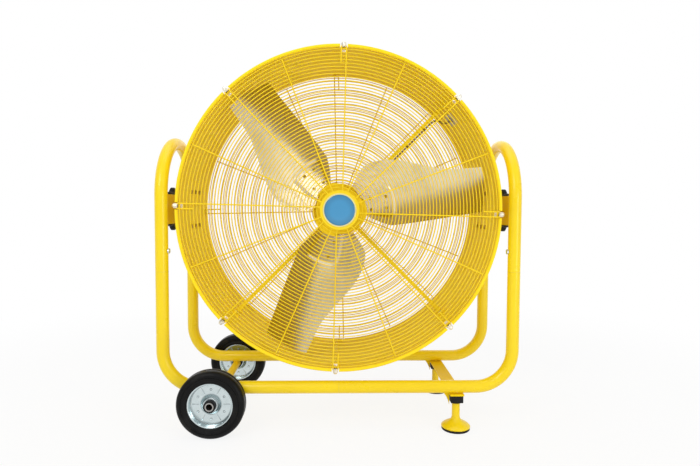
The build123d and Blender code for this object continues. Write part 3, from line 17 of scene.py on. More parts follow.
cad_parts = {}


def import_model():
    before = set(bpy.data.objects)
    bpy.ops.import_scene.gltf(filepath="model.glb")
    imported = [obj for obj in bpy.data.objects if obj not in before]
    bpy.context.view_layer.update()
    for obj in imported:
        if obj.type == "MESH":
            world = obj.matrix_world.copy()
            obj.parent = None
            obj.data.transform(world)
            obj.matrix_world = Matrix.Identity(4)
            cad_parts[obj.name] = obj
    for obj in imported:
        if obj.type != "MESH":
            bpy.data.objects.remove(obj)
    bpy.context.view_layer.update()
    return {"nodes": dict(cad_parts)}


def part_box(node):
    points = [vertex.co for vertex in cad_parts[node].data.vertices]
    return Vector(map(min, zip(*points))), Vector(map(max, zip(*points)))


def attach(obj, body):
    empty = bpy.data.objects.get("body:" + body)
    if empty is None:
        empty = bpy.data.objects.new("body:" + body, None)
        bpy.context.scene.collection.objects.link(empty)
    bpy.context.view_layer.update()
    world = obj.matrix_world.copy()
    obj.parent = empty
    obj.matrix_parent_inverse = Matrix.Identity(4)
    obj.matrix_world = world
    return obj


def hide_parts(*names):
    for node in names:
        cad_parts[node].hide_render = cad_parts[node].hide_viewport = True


LOG = logging.getLogger("drum_fan")
MM = 0.001
Point = tuple[float, float, float]
Colour = tuple[float, float, float]
Outline = Sequence[tuple[float, float]]
Shape = Callable[[float, float, float], tuple[float, float]]
AXIS_Z = 669.43  # the drum's own axis above the floor, in millimetres
CENTRE: Point = (0.0, 0.0, AXIS_Z)
CENTRE_M: Point = (0.0, 0.0, AXIS_Z * MM)  # the same point in metres


class Turn(Enum):
    """The axis that a turned piece is turned about."""

    X = "x"
    Y = "y"
    Z = "z"


class Mouth(Enum):
    """The two ends of the drum, as the turn about Z that brings the front's pieces there."""

    FRONT = 0
    REAR = 180


class Side(Enum):
    """The two sides of the fan, as the sign of X."""

    LEFT = -1
    RIGHT = 1


# ---------------------------------------------------------------- node graphs
@dataclass
class Value:
    """An output socket that ordinary arithmetic can be written with."""

    graph: "NodeGraph"
    socket: bpy.types.NodeSocket

    def _math(self, operation: str, *others: Any) -> "Value":
        """Adds one Math node on this value and the others."""
        operands = dict(enumerate((self, *others)))
        return self.graph.node("ShaderNodeMath", {"operation": operation}, operands)

    def _reflected(self, operation: str, other: Any) -> "Value":
        """Adds one Math node with this value as its second operand."""
        return self.graph.node("ShaderNodeMath", {"operation": operation}, {0: other, 1: self})

    def __add__(self, other: Any) -> "Value":
        """This plus another."""
        return self._math("ADD", other)

    def __radd__(self, other: Any) -> "Value":
        """A number plus this."""
        return self._reflected("ADD", other)

    def __sub__(self, other: Any) -> "Value":
        """This minus another."""
        return self._math("SUBTRACT", other)

    def __rsub__(self, other: Any) -> "Value":
        """A number minus this."""
        return self._reflected("SUBTRACT", other)

    def __mul__(self, other: Any) -> "Value":
        """This times another."""
        return self._math("MULTIPLY", other)

    def __rmul__(self, other: Any) -> "Value":
        """A number times this."""
        return self._reflected("MULTIPLY", other)

    def __truediv__(self, other: Any) -> "Value":
        """This over another."""
        return self._math("DIVIDE", other)

    def __pow__(self, other: Any) -> "Value":
        """This to a power."""
        return self._math("POWER", other)

    def at_most(self, limit: float) -> "Value":
        """This, held under a limit."""
        return self._math("MINIMUM", limit)

    def turn_from(self, across: "Value") -> "Value":
        """The angle of a point that lies this far up and another distance across."""
        return self._math("ARCTAN2", across)

    def sine(self) -> "Value":
        """The sine of this."""
        return self._math("SINE")

    def size(self) -> "Value":
        """This without its sign."""
        return self._math("ABSOLUTE")

    def fraction(self) -> "Value":
        """What is left of this above a whole number."""
        return self._math("FRACT")

    def between(self, low: float, high: float) -> "Value":
        """How far this is from low to high, smoothly, from 0 to 1."""
        inputs = {0: self, 1: low, 2: high, 3: 0.0, 4: 1.0}
        return self.graph.node("ShaderNodeMapRange", {"interpolation_type": "SMOOTHSTEP"}, inputs)


class NodeGraph:
    """A node tree of any kind, with one method for every node."""

    def __init__(self, tree: bpy.types.NodeTree) -> None:
        """Starts from an existing tree.

        Args:
            tree: the tree that nodes are added to.
        """
        self.tree = tree

    def node(self, kind: str, settings: dict[str, Any] | None = None,
             inputs: dict[int | str, Any] | None = None, output: int | str = 0) -> Value:
        """Adds a node of any type.

        Args:
            kind: the node's type name.
            settings: its properties, set before its inputs; "stops" are a ramp's positions and colours.
            inputs: a value or a link for each of its sockets, by index or name.
            output: the output that the result stands for.

        Returns:
            That output, as a value.
        """
        node = self.tree.nodes.new(kind)
        for key, setting in (settings or {}).items():
            if key == "stops":
                self._set_stops(node, setting)
            else:
                setattr(node, key, setting)
        for key, value in (inputs or {}).items():
            self.feed(node.inputs[key], value)
        return Value(self, node.outputs[output])

    def close(self, kind: str, surface: Value) -> None:
        """Adds the node that ends a surface or a world, and links it."""
        self.feed(self.tree.nodes.new(kind).inputs["Surface"], surface)

    def feed(self, socket: bpy.types.NodeSocket, value: Any) -> None:
        """Links a value to a socket, or sets the socket to a plain number, colour or vector.

        Args:
            socket: the input.
            value: a value, or a plain one.
        """
        if isinstance(value, Value):
            self.tree.links.new(value.socket, socket)
        else:
            socket.default_value = value

    def noise(self, where: Value, scale: float, detail: float = 2.0, roughness: float = 0.5) -> Value:
        """Smooth noise from 0 to 1.

        Args:
            where: the coordinates.
            scale: waves a metre, roughly.
            detail: octaves.
            roughness: how strong the fine octaves are.

        Returns:
            The noise.
        """
        return self.node("ShaderNodeTexNoise", None,
                         {"Vector": where, "Scale": scale, "Detail": detail, "Roughness": roughness})

    def cells(self, where: Value, scale: float) -> Value:
        """The distance to the nearest of many scattered points."""
        return self.node("ShaderNodeTexVoronoi", None, {"Vector": where, "Scale": scale})

    def part(self, where: Value, axis: int) -> Value:
        """One coordinate of a vector: 0, 1 or 2."""
        return self.node("ShaderNodeSeparateXYZ", None, {0: where}, axis)

    def blend(self, share: Any, first: Any, second: Any) -> Value:
        """Mixes two colours.

        Args:
            share: how much of the second, from 0 to 1.
            first: a colour or a value.
            second: a colour or a value.

        Returns:
            The mixed colour.
        """
        pair = [value if isinstance(value, Value) else (*value, 1.0) for value in (first, second)]
        return self.node("ShaderNodeMix", {"data_type": "RGBA"}, {0: share, 6: pair[0], 7: pair[1]}, 2)

    def length(self, where: Value) -> Value:
        """How long a vector is."""
        return self.node("ShaderNodeVectorMath", {"operation": "LENGTH"}, {0: where}, "Value")

    @classmethod
    def fresh(cls, owner: bpy.types.Material | bpy.types.World) -> "NodeGraph":
        """Empties a material's or a world's own tree and starts from it."""
        owner.use_nodes = True
        owner.node_tree.nodes.clear()
        return cls(owner.node_tree)

    @staticmethod
    def _set_stops(node: bpy.types.Node, stops: Sequence[tuple[float, Colour]]) -> None:
        """Gives a colour ramp its stops.

        Args:
            node: the ramp.
            stops: each stop's position and colour.
        """
        elements = node.color_ramp.elements
        while len(elements) < len(stops):
            elements.new(0.5)
        for element, (position, colour) in zip(elements, stops):
            element.position = position
            element.color = (*colour, 1.0)


class SurfaceGraph(NodeGraph):
    """A material's node tree round one Principled shader."""

    def __init__(self, name: str) -> None:
        """Makes an empty material with its shader and its output.

        Args:
            name: the material's name.
        """
        self.material = bpy.data.materials.new(name)
        self.material.use_nodes = True
        self.material.node_tree.nodes.clear()
        super().__init__(self.material.node_tree)
        shader = self.node("ShaderNodeBsdfPrincipled")
        self.shader = shader.socket.node
        self.close("ShaderNodeOutputMaterial", shader)

    def set(self, **values: Any) -> None:
        """Sets or links the shader's sockets, named with underscores for spaces.

        Args:
            values: a value for each named socket.
        """
        for key, value in values.items():
            name = key.replace("_", " ").title().replace("Ior", "IOR")
            if name in ("Base Color", "Emission Color") and not isinstance(value, Value):
                value = (*value, 1.0)
            self.feed(self.shader.inputs[name], value)

    def place(self, stretch: Point = (1.0, 1.0, 1.0), shift: Point = (0.0, 0.0, 0.0),
              turn: Point = (0.0, 0.0, 0.0)) -> Value:
        """Object coordinates, moved, turned and stretched for a pattern.

        Args:
            stretch: the scale of each axis.
            shift: a move before that, such as minus a pattern's centre.
            turn: a rotation, in radians.

        Returns:
            The coordinates as a vector.
        """
        spot = self.node("ShaderNodeTexCoord", output="Object")
        moved = self.node("ShaderNodeVectorMath", {"operation": "ADD"}, {0: spot, 1: shift})
        inputs = {"Vector": moved, "Rotation": turn, "Scale": stretch}
        return self.node("ShaderNodeMapping", None, inputs)

    def relief(self, height: Value, depth: float, strength: float = 1.0) -> None:
        """Feeds a bump to the shader's normal: height from 0 to 1 stands for a depth in metres."""
        inputs = {"Strength": strength, "Distance": depth, "Height": height}
        self.set(normal=self.node("ShaderNodeBump", None, inputs))


class ShapeGraph(NodeGraph):
    """A Geometry Nodes tree with named inputs, baked to plain meshes."""

    KINDS = {float: "NodeSocketFloat", int: "NodeSocketInt", tuple: "NodeSocketVector",
             bpy.types.Material: "NodeSocketMaterial"}

    def __init__(self, name: str, sizes: dict[str, Any]) -> None:
        """Makes the tree with one geometry input and its named sizes.

        Args:
            name: the tree's name.
            sizes: each named input with its first value, or with Material for a material.
        """
        super().__init__(bpy.data.node_groups.new(name, "GeometryNodeTree"))
        face = self.tree.interface
        face.new_socket("Geometry", in_out="INPUT", socket_type="NodeSocketGeometry")
        for key, first in {**sizes, "Material": bpy.types.Material}.items():
            kind = bpy.types.Material if first is bpy.types.Material else type(first)
            socket = face.new_socket(key, in_out="INPUT", socket_type=self.KINDS[kind])
            if kind is not bpy.types.Material:
                socket.default_value = first
        face.new_socket("Geometry", in_out="OUTPUT", socket_type="NodeSocketGeometry")
        self._enter = self.tree.nodes.new("NodeGroupInput")
        self._leave = self.tree.nodes.new("NodeGroupOutput")

    def given(self, name: str) -> Value:
        """One of the tree's inputs."""
        return Value(self, self._enter.outputs[name])

    def real(self, geometry: Value) -> Value:
        """Makes instances into geometry of their own."""
        return self.node("GeometryNodeRealizeInstances", None, {0: geometry})

    def circle(self, steps: Value, radius: Any) -> Value:
        """A round curve of so many steps."""
        inputs = {"Resolution": steps, "Radius": radius}
        return self.node("GeometryNodeCurvePrimitiveCircle", None, inputs)

    def swept(self, route: Value, radius: str, more: dict[str, Any]) -> Value:
        """Sweeps a round section of the tree's own "Sides" along a route.

        Args:
            route: the curve.
            radius: the name of the tree's input that holds the section's radius.
            more: other inputs of the sweep.

        Returns:
            The swept mesh.
        """
        section = self.circle(self.given("Sides"), self.given(radius))
        inputs = {"Curve": route, "Profile Curve": section, **more}
        return self.node("GeometryNodeCurveToMesh", None, inputs)

    def end(self, geometry: Value) -> None:
        """Realizes, smooths and dresses the geometry, and sends it out."""
        smooth = self.node("GeometryNodeSetShadeSmooth", None, {0: self.real(geometry)})
        inputs = {0: smooth, "Material": self.given("Material")}
        self.feed(self._leave.inputs[0], self.node("GeometryNodeSetMaterial", None, inputs))

    def bake(self, source: bpy.types.Object, name: str, values: dict[str, Any]) -> bpy.types.Object:
        """Runs the tree on an object and keeps only the resulting mesh.

        Args:
            source: a mesh or curve object, removed afterwards.
            name: the new object's name.
            values: the named inputs.

        Returns:
            A plain mesh object at the origin.
        """
        modifier = source.modifiers.new(self.tree.name, "NODES")
        modifier.node_group = self.tree
        for item in self.tree.interface.items_tree:
            if item.item_type == "SOCKET" and item.in_out == "INPUT" and item.name in values:
                modifier[item.identifier] = values[item.name]
        evaluated = source.evaluated_get(bpy.context.evaluated_depsgraph_get())
        mesh = bpy.data.meshes.new_from_object(evaluated)
        bpy.data.objects.remove(source)
        return link_mesh(name, mesh)


# ---------------------------------------------------------------- finishes
def toned(colour: Colour, share: float, lift: float = 0.0) -> Colour:
    """A colour made darker or lighter, up to white."""
    return tuple(min(1.0, part * share + lift) for part in colour)


@dataclass(frozen=True)
class Finish:
    """A surface finish: its name and its main colour."""

    name: str
    colour: Colour

    def material(self) -> bpy.types.Material:
        """The finish's material, made once.

        Returns:
            The material.
        """
        known = bpy.data.materials.get(self.name)
        if known:
            return known
        graph = SurfaceGraph(self.name)
        self.paint(graph)
        return graph.material

    def paint(self, graph: SurfaceGraph) -> None:
        """Builds the finish's nodes."""
        raise NotImplementedError


@dataclass(frozen=True)
class PowderCoat(Finish):
    """Baked powder paint: a faint orange peel, slow shade changes and fine settled dust."""

    shade: Colour = (0.87, 0.60, 0.004)
    gloss: float = 0.34
    shine: float = 0.28
    lacquer: float = 0.08
    peel_depth: float = 0.00012
    peel_waves: float = 420.0
    cloud_waves: float = 5.0
    patch_waves: float = 30.0
    dust_waves: float = 260.0
    dust: Colour = (0.55, 0.40, 0.08)

    def paint(self, graph: SurfaceGraph) -> None:
        """Builds the finish's nodes.

        Args:
            graph: the material's tree.
        """
        spot = graph.place()
        cloud = graph.noise(spot, self.cloud_waves, 3.0)
        speck = graph.noise(spot, self.dust_waves).between(0.68, 0.80)
        body = graph.blend(cloud.between(0.35, 0.75) * 0.6, self.colour, self.shade)
        dusty = graph.blend(speck * 0.25, body, self.dust)
        graph.set(base_color=self.colour_over(graph, dusty), metallic=self.bare(graph),
                  roughness=self.gloss + graph.noise(spot, self.patch_waves, 3.0) * 0.10,
                  coat_weight=self.lacquer, coat_roughness=0.10, specular_ior_level=self.shine)
        graph.relief(graph.noise(spot, self.peel_waves, 1.0), self.peel_depth, 0.6)

    def bare(self, graph: SurfaceGraph) -> Any:
        """Where the paint stops, from 0 to 1: nowhere on most pieces."""
        return 0.0

    def colour_over(self, graph: SurfaceGraph, paint: Value) -> Value:
        """The paint's colour with whatever shows where it stops."""
        return paint


@dataclass(frozen=True)
class MaskedCoat(PowderCoat):
    """Powder paint on a tube whose two ends along Y were masked and stay bare steel."""

    ends: float = 0.1905
    ragged: float = 0.0006
    ragged_waves: float = 400.0
    steel: Colour = (0.42, 0.41, 0.39)

    def bare(self, graph: SurfaceGraph) -> Any:
        """One beyond the masked line, with a slightly ragged edge."""
        spot = graph.place()
        along = graph.part(spot, 1).size() + graph.noise(spot, self.ragged_waves) * self.ragged
        return along.between(self.ends, self.ends + self.ragged)

    def colour_over(self, graph: SurfaceGraph, paint: Value) -> Value:
        """Paint in the middle and steel at the ends."""
        return graph.blend(self.bare(graph), paint, self.steel)


@dataclass(frozen=True)
class ZincPlate(Finish):
    """Bright zinc on steel, with cloudy passivation and fine scratches."""

    tint: Colour = (0.60, 0.66, 0.74)
    gloss: float = 0.26
    dirt_and_shade_colour: Colour = (0.07, 0.08, 0.08)
    cloud_waves: float = 60.0
    scratch_waves: float = 700.0
    scratch_stretch: Point = (1.0, 1.0, 9.0)
    scratch_depth: float = 0.00004

    def paint(self, graph: SurfaceGraph) -> None:
        """Builds the finish's nodes.

        Args:
            graph: the material's tree.
        """
        cloud = graph.noise(graph.place(), self.cloud_waves, 4.0, 0.6)
        scratch = graph.noise(graph.place(self.scratch_stretch), self.scratch_waves)
        plate = graph.blend(cloud, self.colour, self.tint)
        # darkens the zinc towards one dark colour where the mask says: dirt, and on the wheel painted
        # shade as well
        graph.set(base_color=graph.blend(self.dirt_and_shade_mask(graph), plate, self.dirt_and_shade_colour), metallic=1.0,
                  roughness=self.gloss + cloud * 0.12 + scratch.between(0.5, 0.8) * 0.08)
        graph.relief(scratch, self.scratch_depth, 0.5)

    def dirt_and_shade_mask(self, graph: SurfaceGraph) -> Any:
        """Where dirt and painted shade darken the zinc, from 0 to 1: nowhere on small parts."""
        return 0.0


@dataclass(frozen=True)
class WheelZinc(ZincPlate):
    """Zinc on a pressed wheel, darkened in its flutes, corners and neck and round its spot welds: partly
    dirt, partly painted shade.
    """

    axle: tuple[float, float] = (-0.37475, 0.1)
    spokes: int = 6
    flute_edge: tuple[float, float] = (0.0003, 0.0021)
    web_inside: tuple[float, float] = (0.034, 0.037)
    web_outside: tuple[float, float] = (0.054, 0.057)
    weld_circle: float = 0.044
    weld_ring: float = 0.0030
    weld_edge: tuple[float, float] = (0.0002, 0.0013)
    corner: float = 0.0592
    corner_width: float = 0.0022
    neck: float = 0.0305
    neck_width: float = 0.0030
    worn_waves: float = 90.0
    flute_dirt_and_shade: float = 0.28
    weld_dirt_and_shade: float = 0.7
    corner_dirt_and_shade: float = 0.6
    neck_dirt_and_shade: float = 0.3

    def dirt_and_shade_mask(self, graph: SurfaceGraph) -> Value:
        """Lines, rings and dots about the axle, broken up by noise: dirt and painted shade in the
        pressed hollows.

        Args:
            graph: the material's tree.

        Returns:
            How dark each place is made, from 0 to 1, by dirt and painted shade.
        """
        spot = graph.place(shift=(-self.axle[0], 0.0, -self.axle[1]))
        across, up = graph.part(spot, 0), graph.part(spot, 2)
        radius = (across * across + up * up) ** 0.5
        turns = up.turn_from(across) * (self.spokes / (2 * math.pi))
        off = (turns + (self.spokes + 0.5)).fraction() - 0.5
        arc = radius * (2 * math.pi / self.spokes)
        flute = 1.0 - (off.size() * arc).between(*self.flute_edge)
        web = radius.between(*self.web_inside) * (1.0 - radius.between(*self.web_outside))
        side = (0.5 - off.size()) * arc
        away = (side * side + (radius - self.weld_circle) ** 2.0) ** 0.5
        dot = 1.0 - (away - self.weld_ring).size().between(*self.weld_edge)
        corner = 1.0 - (radius - self.corner).size().between(0.0, self.corner_width)
        neck = 1.0 - (radius - self.neck).size().between(0.0, self.neck_width)
        varied = graph.noise(graph.place(), self.worn_waves, 3.0).between(0.25, 0.6)
        # dirt and painted shade together: flutes, weld rings, the dish corner and the hub's neck are
        # darkened
        marks = (flute * web * self.flute_dirt_and_shade + dot * self.weld_dirt_and_shade + corner * self.corner_dirt_and_shade
                 + neck * self.neck_dirt_and_shade)
        return (marks * (varied * 0.5 + 0.5)).at_most(0.9)


@dataclass(frozen=True)
class Rubber(Finish):
    """Moulded rubber with a fine grain and a dusty bloom."""

    bloom: Colour = (0.060, 0.056, 0.052)
    rough: float = 0.50
    shine: float = 0.13
    cloud_waves: float = 22.0
    grain_waves: float = 1500.0
    grain_depth: float = 0.00008

    def paint(self, graph: SurfaceGraph) -> None:
        """Builds the finish's nodes.

        Args:
            graph: the material's tree.
        """
        spot = graph.place()
        cloud = graph.noise(spot, self.cloud_waves, 4.0, 0.6)
        graph.set(base_color=graph.blend(cloud.between(0.45, 0.85), self.colour, self.bloom),
                  roughness=self.rough + cloud * 0.18, specular_ior_level=self.shine)
        graph.relief(graph.noise(spot, self.grain_waves), self.grain_depth, 0.6)


@dataclass(frozen=True)
class Moulding(Finish):
    """Injection-moulded plastic with a spark-eroded grain."""

    rough: float = 0.42
    shine: float = 0.18
    cloud_waves: float = 35.0
    pit_waves: float = 900.0
    pit_depth: float = 0.00006

    def paint(self, graph: SurfaceGraph) -> None:
        """Builds the finish's nodes.

        Args:
            graph: the material's tree.
        """
        spot = graph.place()
        pits = graph.cells(spot, self.pit_waves)
        cloud = graph.noise(spot, self.cloud_waves)
        graph.set(base_color=graph.blend(cloud * 0.4, self.colour, toned(self.colour, 1.5, 0.004)),
                  roughness=self.rough + pits * 0.12, specular_ior_level=self.shine)
        graph.relief(pits, self.pit_depth, 0.5)


@dataclass(frozen=True)
class RolledSheet(Finish):
    """Mill-finish aluminium sheet: rolling lines, a cloudy oxide, painted shade on the side behind the
    fold and a painted highlight on the root panel's edge.
    """

    oxide: Colour = (0.62, 0.55, 0.38)
    # painted shade colour for the side past the fold, standing for the shaded drum wall that it reflects
    painted_shade: Colour = (0.42, 0.36, 0.27)
    # painted highlight colour for the root panel's outer edge
    painted_highlight: Colour = (0.96, 0.94, 0.88)
    gloss: float = 0.26
    cloud_waves: float = 14.0
    line_waves: float = 900.0
    line_stretch: float = 0.03
    line_depth: float = 0.00002
    fold_start: float = -0.036
    fold_rise: float = 0.161
    fold_depth: float = 0.14
    fold_round: float = 0.03
    painted_shade_edge: tuple[float, float] = (-0.024, 0.030)
    root_start: float = 0.13
    press_end: float = 0.1735
    highlight_band: tuple[float, float] = (0.0028, 0.0052)
    press_turn: float = 0.02
    press_sides: tuple[float, float] = (0.20, 0.27)

    def paint(self, graph: SurfaceGraph) -> None:
        """Builds the finish's nodes on the sheet's own UV map: across and along the blade, in metres.

        Args:
            graph: the material's tree.
        """
        sheet = graph.node("ShaderNodeUVMap", {"uv_map": "sheet"})
        across, along = graph.part(sheet, 0), graph.part(sheet, 1)
        stretch = {"Vector": sheet, "Scale": (1.0, self.line_stretch, 1.0)}
        lines = graph.noise(graph.node("ShaderNodeMapping", None, stretch), self.line_waves, 3.0)
        cloud = graph.noise(graph.place(), self.cloud_waves, 4.0, 0.6)
        past = along * self.fold_rise + self.fold_start - across
        fresh = graph.blend(cloud.between(0.4, 0.8) * 0.6, self.colour, self.oxide)
        # painted shade: past the fold the sheet's colour is darkened towards a dull olive
        varied = graph.blend(past.between(*self.painted_shade_edge) * 0.8, fresh, self.painted_shade)
        # painted highlight: a bright, nearly non-metal white line along the root panel's outer edge
        painted_highlight = self._edge_highlight(across, along)
        root = 1.0 - along.between(self.root_start, self.press_end)
        graph.set(base_color=graph.blend(painted_highlight, varied, self.painted_highlight), metallic=1.0 - painted_highlight * 0.85,
                  roughness=self.gloss + lines * 0.10 - root * 0.08)
        limits = {0: past, 1: 0.0, 2: self.fold_round}
        folded = graph.node("ShaderNodeMath", {"operation": "SMOOTH_MAX"}, limits)
        graph.relief(lines * self.line_depth - folded * self.fold_depth, 1.0)

    def _edge_highlight(self, across: Value, along: Value) -> Value:
        """A painted highlight along the outer edge of the root panel, as an arc about the hub."""
        radius = (across * across + along * along) ** 0.5
        ends = 1.0 - (across.turn_from(along) - self.press_turn).size().between(*self.press_sides)
        return ends * (1.0 - (radius - self.press_end).size().between(*self.highlight_band))


@dataclass(frozen=True)
class TurnedSteel(Finish):
    """Machined steel with turning lines round the fan's own axis."""

    stain: Colour = (0.30, 0.28, 0.25)
    gloss: float = 0.30
    cloud_waves: float = 30.0
    line_waves: float = 120.0
    line_stretch: Point = (1.0, 40.0, 1.0)
    line_depth: float = 0.00004

    def paint(self, graph: SurfaceGraph) -> None:
        """Builds the finish's nodes.

        Args:
            graph: the material's tree.
        """
        lines = graph.noise(graph.place(self.line_stretch), self.line_waves)
        cloud = graph.noise(graph.place(), self.cloud_waves, 3.0)
        graph.set(base_color=graph.blend(cloud * 0.6, self.colour, self.stain), metallic=1.0,
                  roughness=self.gloss + lines * 0.14)
        graph.relief(lines, self.line_depth, 0.5)


@dataclass(frozen=True)
class DomedResin(Finish):
    """A clear resin dome over a printed colour that deepens towards its edge."""

    centre: Point = CENTRE_M
    radius: float = 0.046
    deepens: float = 0.72
    gloss: float = 0.14
    flake: Colour = (0.5, 0.7, 0.9)
    flake_waves: float = 900.0
    patch_waves: float = 60.0
    swell_waves: float = 90.0
    swell_depth: float = 0.00006

    def paint(self, graph: SurfaceGraph) -> None:
        """Builds the finish's nodes.

        Args:
            graph: the material's tree.
        """
        spot = graph.place(shift=tuple(-part for part in self.centre))
        edge = (graph.length(spot) / self.radius).between(0.5, 1.05)
        body = graph.blend(edge, self.colour, toned(self.colour, self.deepens))
        flakes = graph.noise(spot, self.flake_waves).between(0.6, 0.9)
        graph.set(base_color=graph.blend(flakes * 0.10, body, self.flake),
                  roughness=self.gloss + graph.noise(spot, self.patch_waves) * 0.08,
                  coat_weight=0.6, coat_roughness=0.05)
        graph.relief(graph.noise(spot, self.swell_waves), self.swell_depth, 0.4)


class Paints:
    """Every finish of the fan."""

    FRAME = PowderCoat("frame powder coat", (0.95, 0.70, 0.008), gloss=0.24, shine=0.34)
    AXLE = MaskedCoat("axle powder coat", (0.93, 0.67, 0.008))
    FLAT = PowderCoat("flat bar powder coat", (0.93, 0.66, 0.008), gloss=0.4, shine=0.08, lacquer=0.0)
    DRUM = PowderCoat("drum powder coat", (1.0, 0.765, 0.025), shade=(0.97, 0.71, 0.016), gloss=0.45,
                      shine=0.05, lacquer=0.0)
    WIRE = PowderCoat("guard powder coat", (0.94, 0.69, 0.025), gloss=0.45, shine=0.12, lacquer=0.0)
    BOLT = ZincPlate("bolt zinc", (0.74, 0.75, 0.76))
    DOME = ZincPlate("dome nut zinc", (0.95, 0.91, 0.80), tint=(0.86, 0.82, 0.70), gloss=0.34)
    # bolts painted over with the yellow paint, its colour darkened to brown as painted shade for the
    # shade inside the drum
    SHADE_PAINTED_BOLT = PowderCoat("painted bolt", (0.50, 0.33, 0.03), shade=(0.40, 0.26, 0.03), gloss=0.5,
                              shine=0.1, lacquer=0.0)
    WHEEL = WheelZinc("wheel zinc", (0.70, 0.77, 0.79), tint=(0.52, 0.61, 0.62), gloss=0.15)
    TYRE = Rubber("tyre rubber", (0.005, 0.005, 0.005), bloom=(0.020, 0.019, 0.018), rough=0.28)
    PAD = Rubber("foot rubber", (0.012, 0.011, 0.011), bloom=(0.04, 0.036, 0.03), rough=0.5)
    NYLON = Moulding("black nylon", (0.009, 0.009, 0.010))
    BOX = Moulding("box grey", (0.20, 0.21, 0.21), rough=0.48)
    PLATE = Moulding("back plate grey", (0.55, 0.52, 0.42), rough=0.5)
    BLADE = RolledSheet("blade sheet", (0.88, 0.83, 0.67))
    CABLE = Moulding("cable sheath", (0.30, 0.23, 0.09), rough=0.6)
    STEEL = TurnedSteel("turned steel", (0.50, 0.49, 0.47))


# ---------------------------------------------------------------- mesh tools
def put(name: str, data: bpy.types.ID) -> bpy.types.Object:
    """Puts a mesh, a curve, a lamp or a camera in the scene as an object at the origin."""
    thing = bpy.data.objects.new(name, data)
    bpy.context.scene.collection.objects.link(thing)
    return thing


def link_mesh(name: str, mesh: bpy.types.Mesh) -> bpy.types.Object:
    """Names a mesh and puts it in the scene."""
    mesh.name = name
    return put(name, mesh)


def mesh_of(work: bmesh.types.BMesh, name: str) -> bpy.types.Mesh:
    """Makes a mesh of a bmesh and frees it.

    Args:
        work: the bmesh.
        name: the mesh's name.

    Returns:
        The mesh.
    """
    mesh = bpy.data.meshes.new(name)
    work.to_mesh(mesh)
    work.free()
    return mesh


def clamped(share: float) -> float:
    """A share held between 0 and 1."""
    return min(1.0, max(0.0, share))


def swell(angle: float) -> float:
    """A smooth wave from 0 to 1, highest at every whole turn."""
    return 0.5 + 0.5 * math.cos(angle)


def fluted(count: int, depth: float, inner: float, low: float, high: float) -> Shape:
    """A shape function that cuts flutes into the rim of a turned piece.

    Args:
        count: how many flutes round.
        depth: how deep they are.
        inner: the radius outside which they are cut.
        low: the distance along the axis where they start.
        high: the distance where they end.

    Returns:
        The function.
    """
    def shape(radius: float, along: float, angle: float) -> tuple[float, float]:
        """Pulls a point in, most in the middle of a flute."""
        if radius > inner and low < along < high:
            radius -= depth * swell(count * angle)
        return radius, along

    return shape


def tidy_mesh(mesh: bpy.types.Mesh, crease: float = 35.0, merge: float = 1e-6) -> None:
    """Merges doubles, turns the faces outwards and sets smooth faces with sharp creases.

    Args:
        mesh: the mesh.
        crease: the angle, in degrees, past which an edge stays sharp.
        merge: the distance within which vertices merge.
    """
    work = bmesh.new()
    work.from_mesh(mesh)
    bmesh.ops.remove_doubles(work, verts=work.verts, dist=merge)
    bmesh.ops.dissolve_degenerate(work, edges=work.edges, dist=merge)
    bmesh.ops.recalc_face_normals(work, faces=work.faces)
    for face in work.faces:
        face.smooth = True
    for edge in work.edges:
        edge.smooth = len(edge.link_faces) == 2 and edge.calc_face_angle(0.0) < math.radians(crease)
    work.to_mesh(mesh)
    work.free()


def rounded(outline: Outline, radius: float, steps: int = 3) -> Outline:
    """Rounds the corners of a closed outline.

    Args:
        outline: the corners.
        radius: the largest rounding; short sides get less.
        steps: points on each rounding.

    Returns:
        The rounded outline.
    """
    longest, straight = 0.45, math.radians(176)
    result = []
    count = len(outline)
    for index in range(count):
        corner = Vector(outline[index])
        before = Vector(outline[index - 1]) - corner
        after = Vector(outline[(index + 1) % count]) - corner
        reach = min(before.length, after.length) * longest
        angle = before.angle(after) if before.length and after.length else math.pi
        if angle > straight or reach == 0:
            result.append(tuple(corner))
            continue
        cut = min(reach, radius / math.tan(angle / 2))
        start, finish = corner + before.normalized() * cut, corner + after.normalized() * cut
        for step in range(steps + 1):
            share = step / steps
            bend = start * (1 - share) ** 2 + corner * 2 * share * (1 - share) + finish * share ** 2
            result.append(tuple(bend))
    return result


def moved(outline: Outline, start: float, way: int = 1) -> Outline:
    """An outline that begins at a distance along its axis and runs one way or the other."""
    return [(radius, start + way * along) for radius, along in outline]


def turned_spot(axis: Turn, radius: float, along: float, angle: float) -> Vector:
    """A point at a radius and an angle round an axis through the origin.

    Args:
        axis: the axis.
        radius: its distance from the axis.
        along: its distance along the axis.
        angle: the angle round it, in radians.

    Returns:
        The point.
    """
    across, up = radius * math.cos(angle), radius * math.sin(angle)
    if axis is Turn.X:
        return Vector((along, across, up))
    if axis is Turn.Y:
        return Vector((across, along, up))
    return Vector((across, up, along))


def lathe(name: str, outline: Outline, axis: Turn, centre: Point, steps: int = 96,
          shape: Shape | None = None, crease: float = 35.0) -> bpy.types.Object:
    """Turns a closed outline of radius and distance along an axis into a solid.

    Args:
        name: the object's name.
        outline: the closed outline, in millimetres.
        axis: the axis.
        centre: the point of the outline's origin, in millimetres.
        steps: how many facets round.
        shape: changes a radius and a distance by the angle, for flutes and embossing.
        crease: the angle past which an edge stays sharp.

    Returns:
        The object.
    """
    middle = Vector(centre)
    spots, faces = [], []
    count = len(outline)
    for turn in range(steps):
        angle = 2 * math.pi * turn / steps
        for radius, along in outline:
            if shape:
                radius, along = shape(radius, along, angle)
            spots.append((middle + turned_spot(axis, radius, along, angle)) * MM)
        for index in range(count):
            following, onward = (index + 1) % count, (turn + 1) % steps
            faces.append((turn * count + index, turn * count + following,
                          onward * count + following, onward * count + index))
    mesh = bpy.data.meshes.new(name)
    mesh.from_pydata([tuple(spot) for spot in spots], [], faces)
    tidy_mesh(mesh, crease)
    return link_mesh(name, mesh)


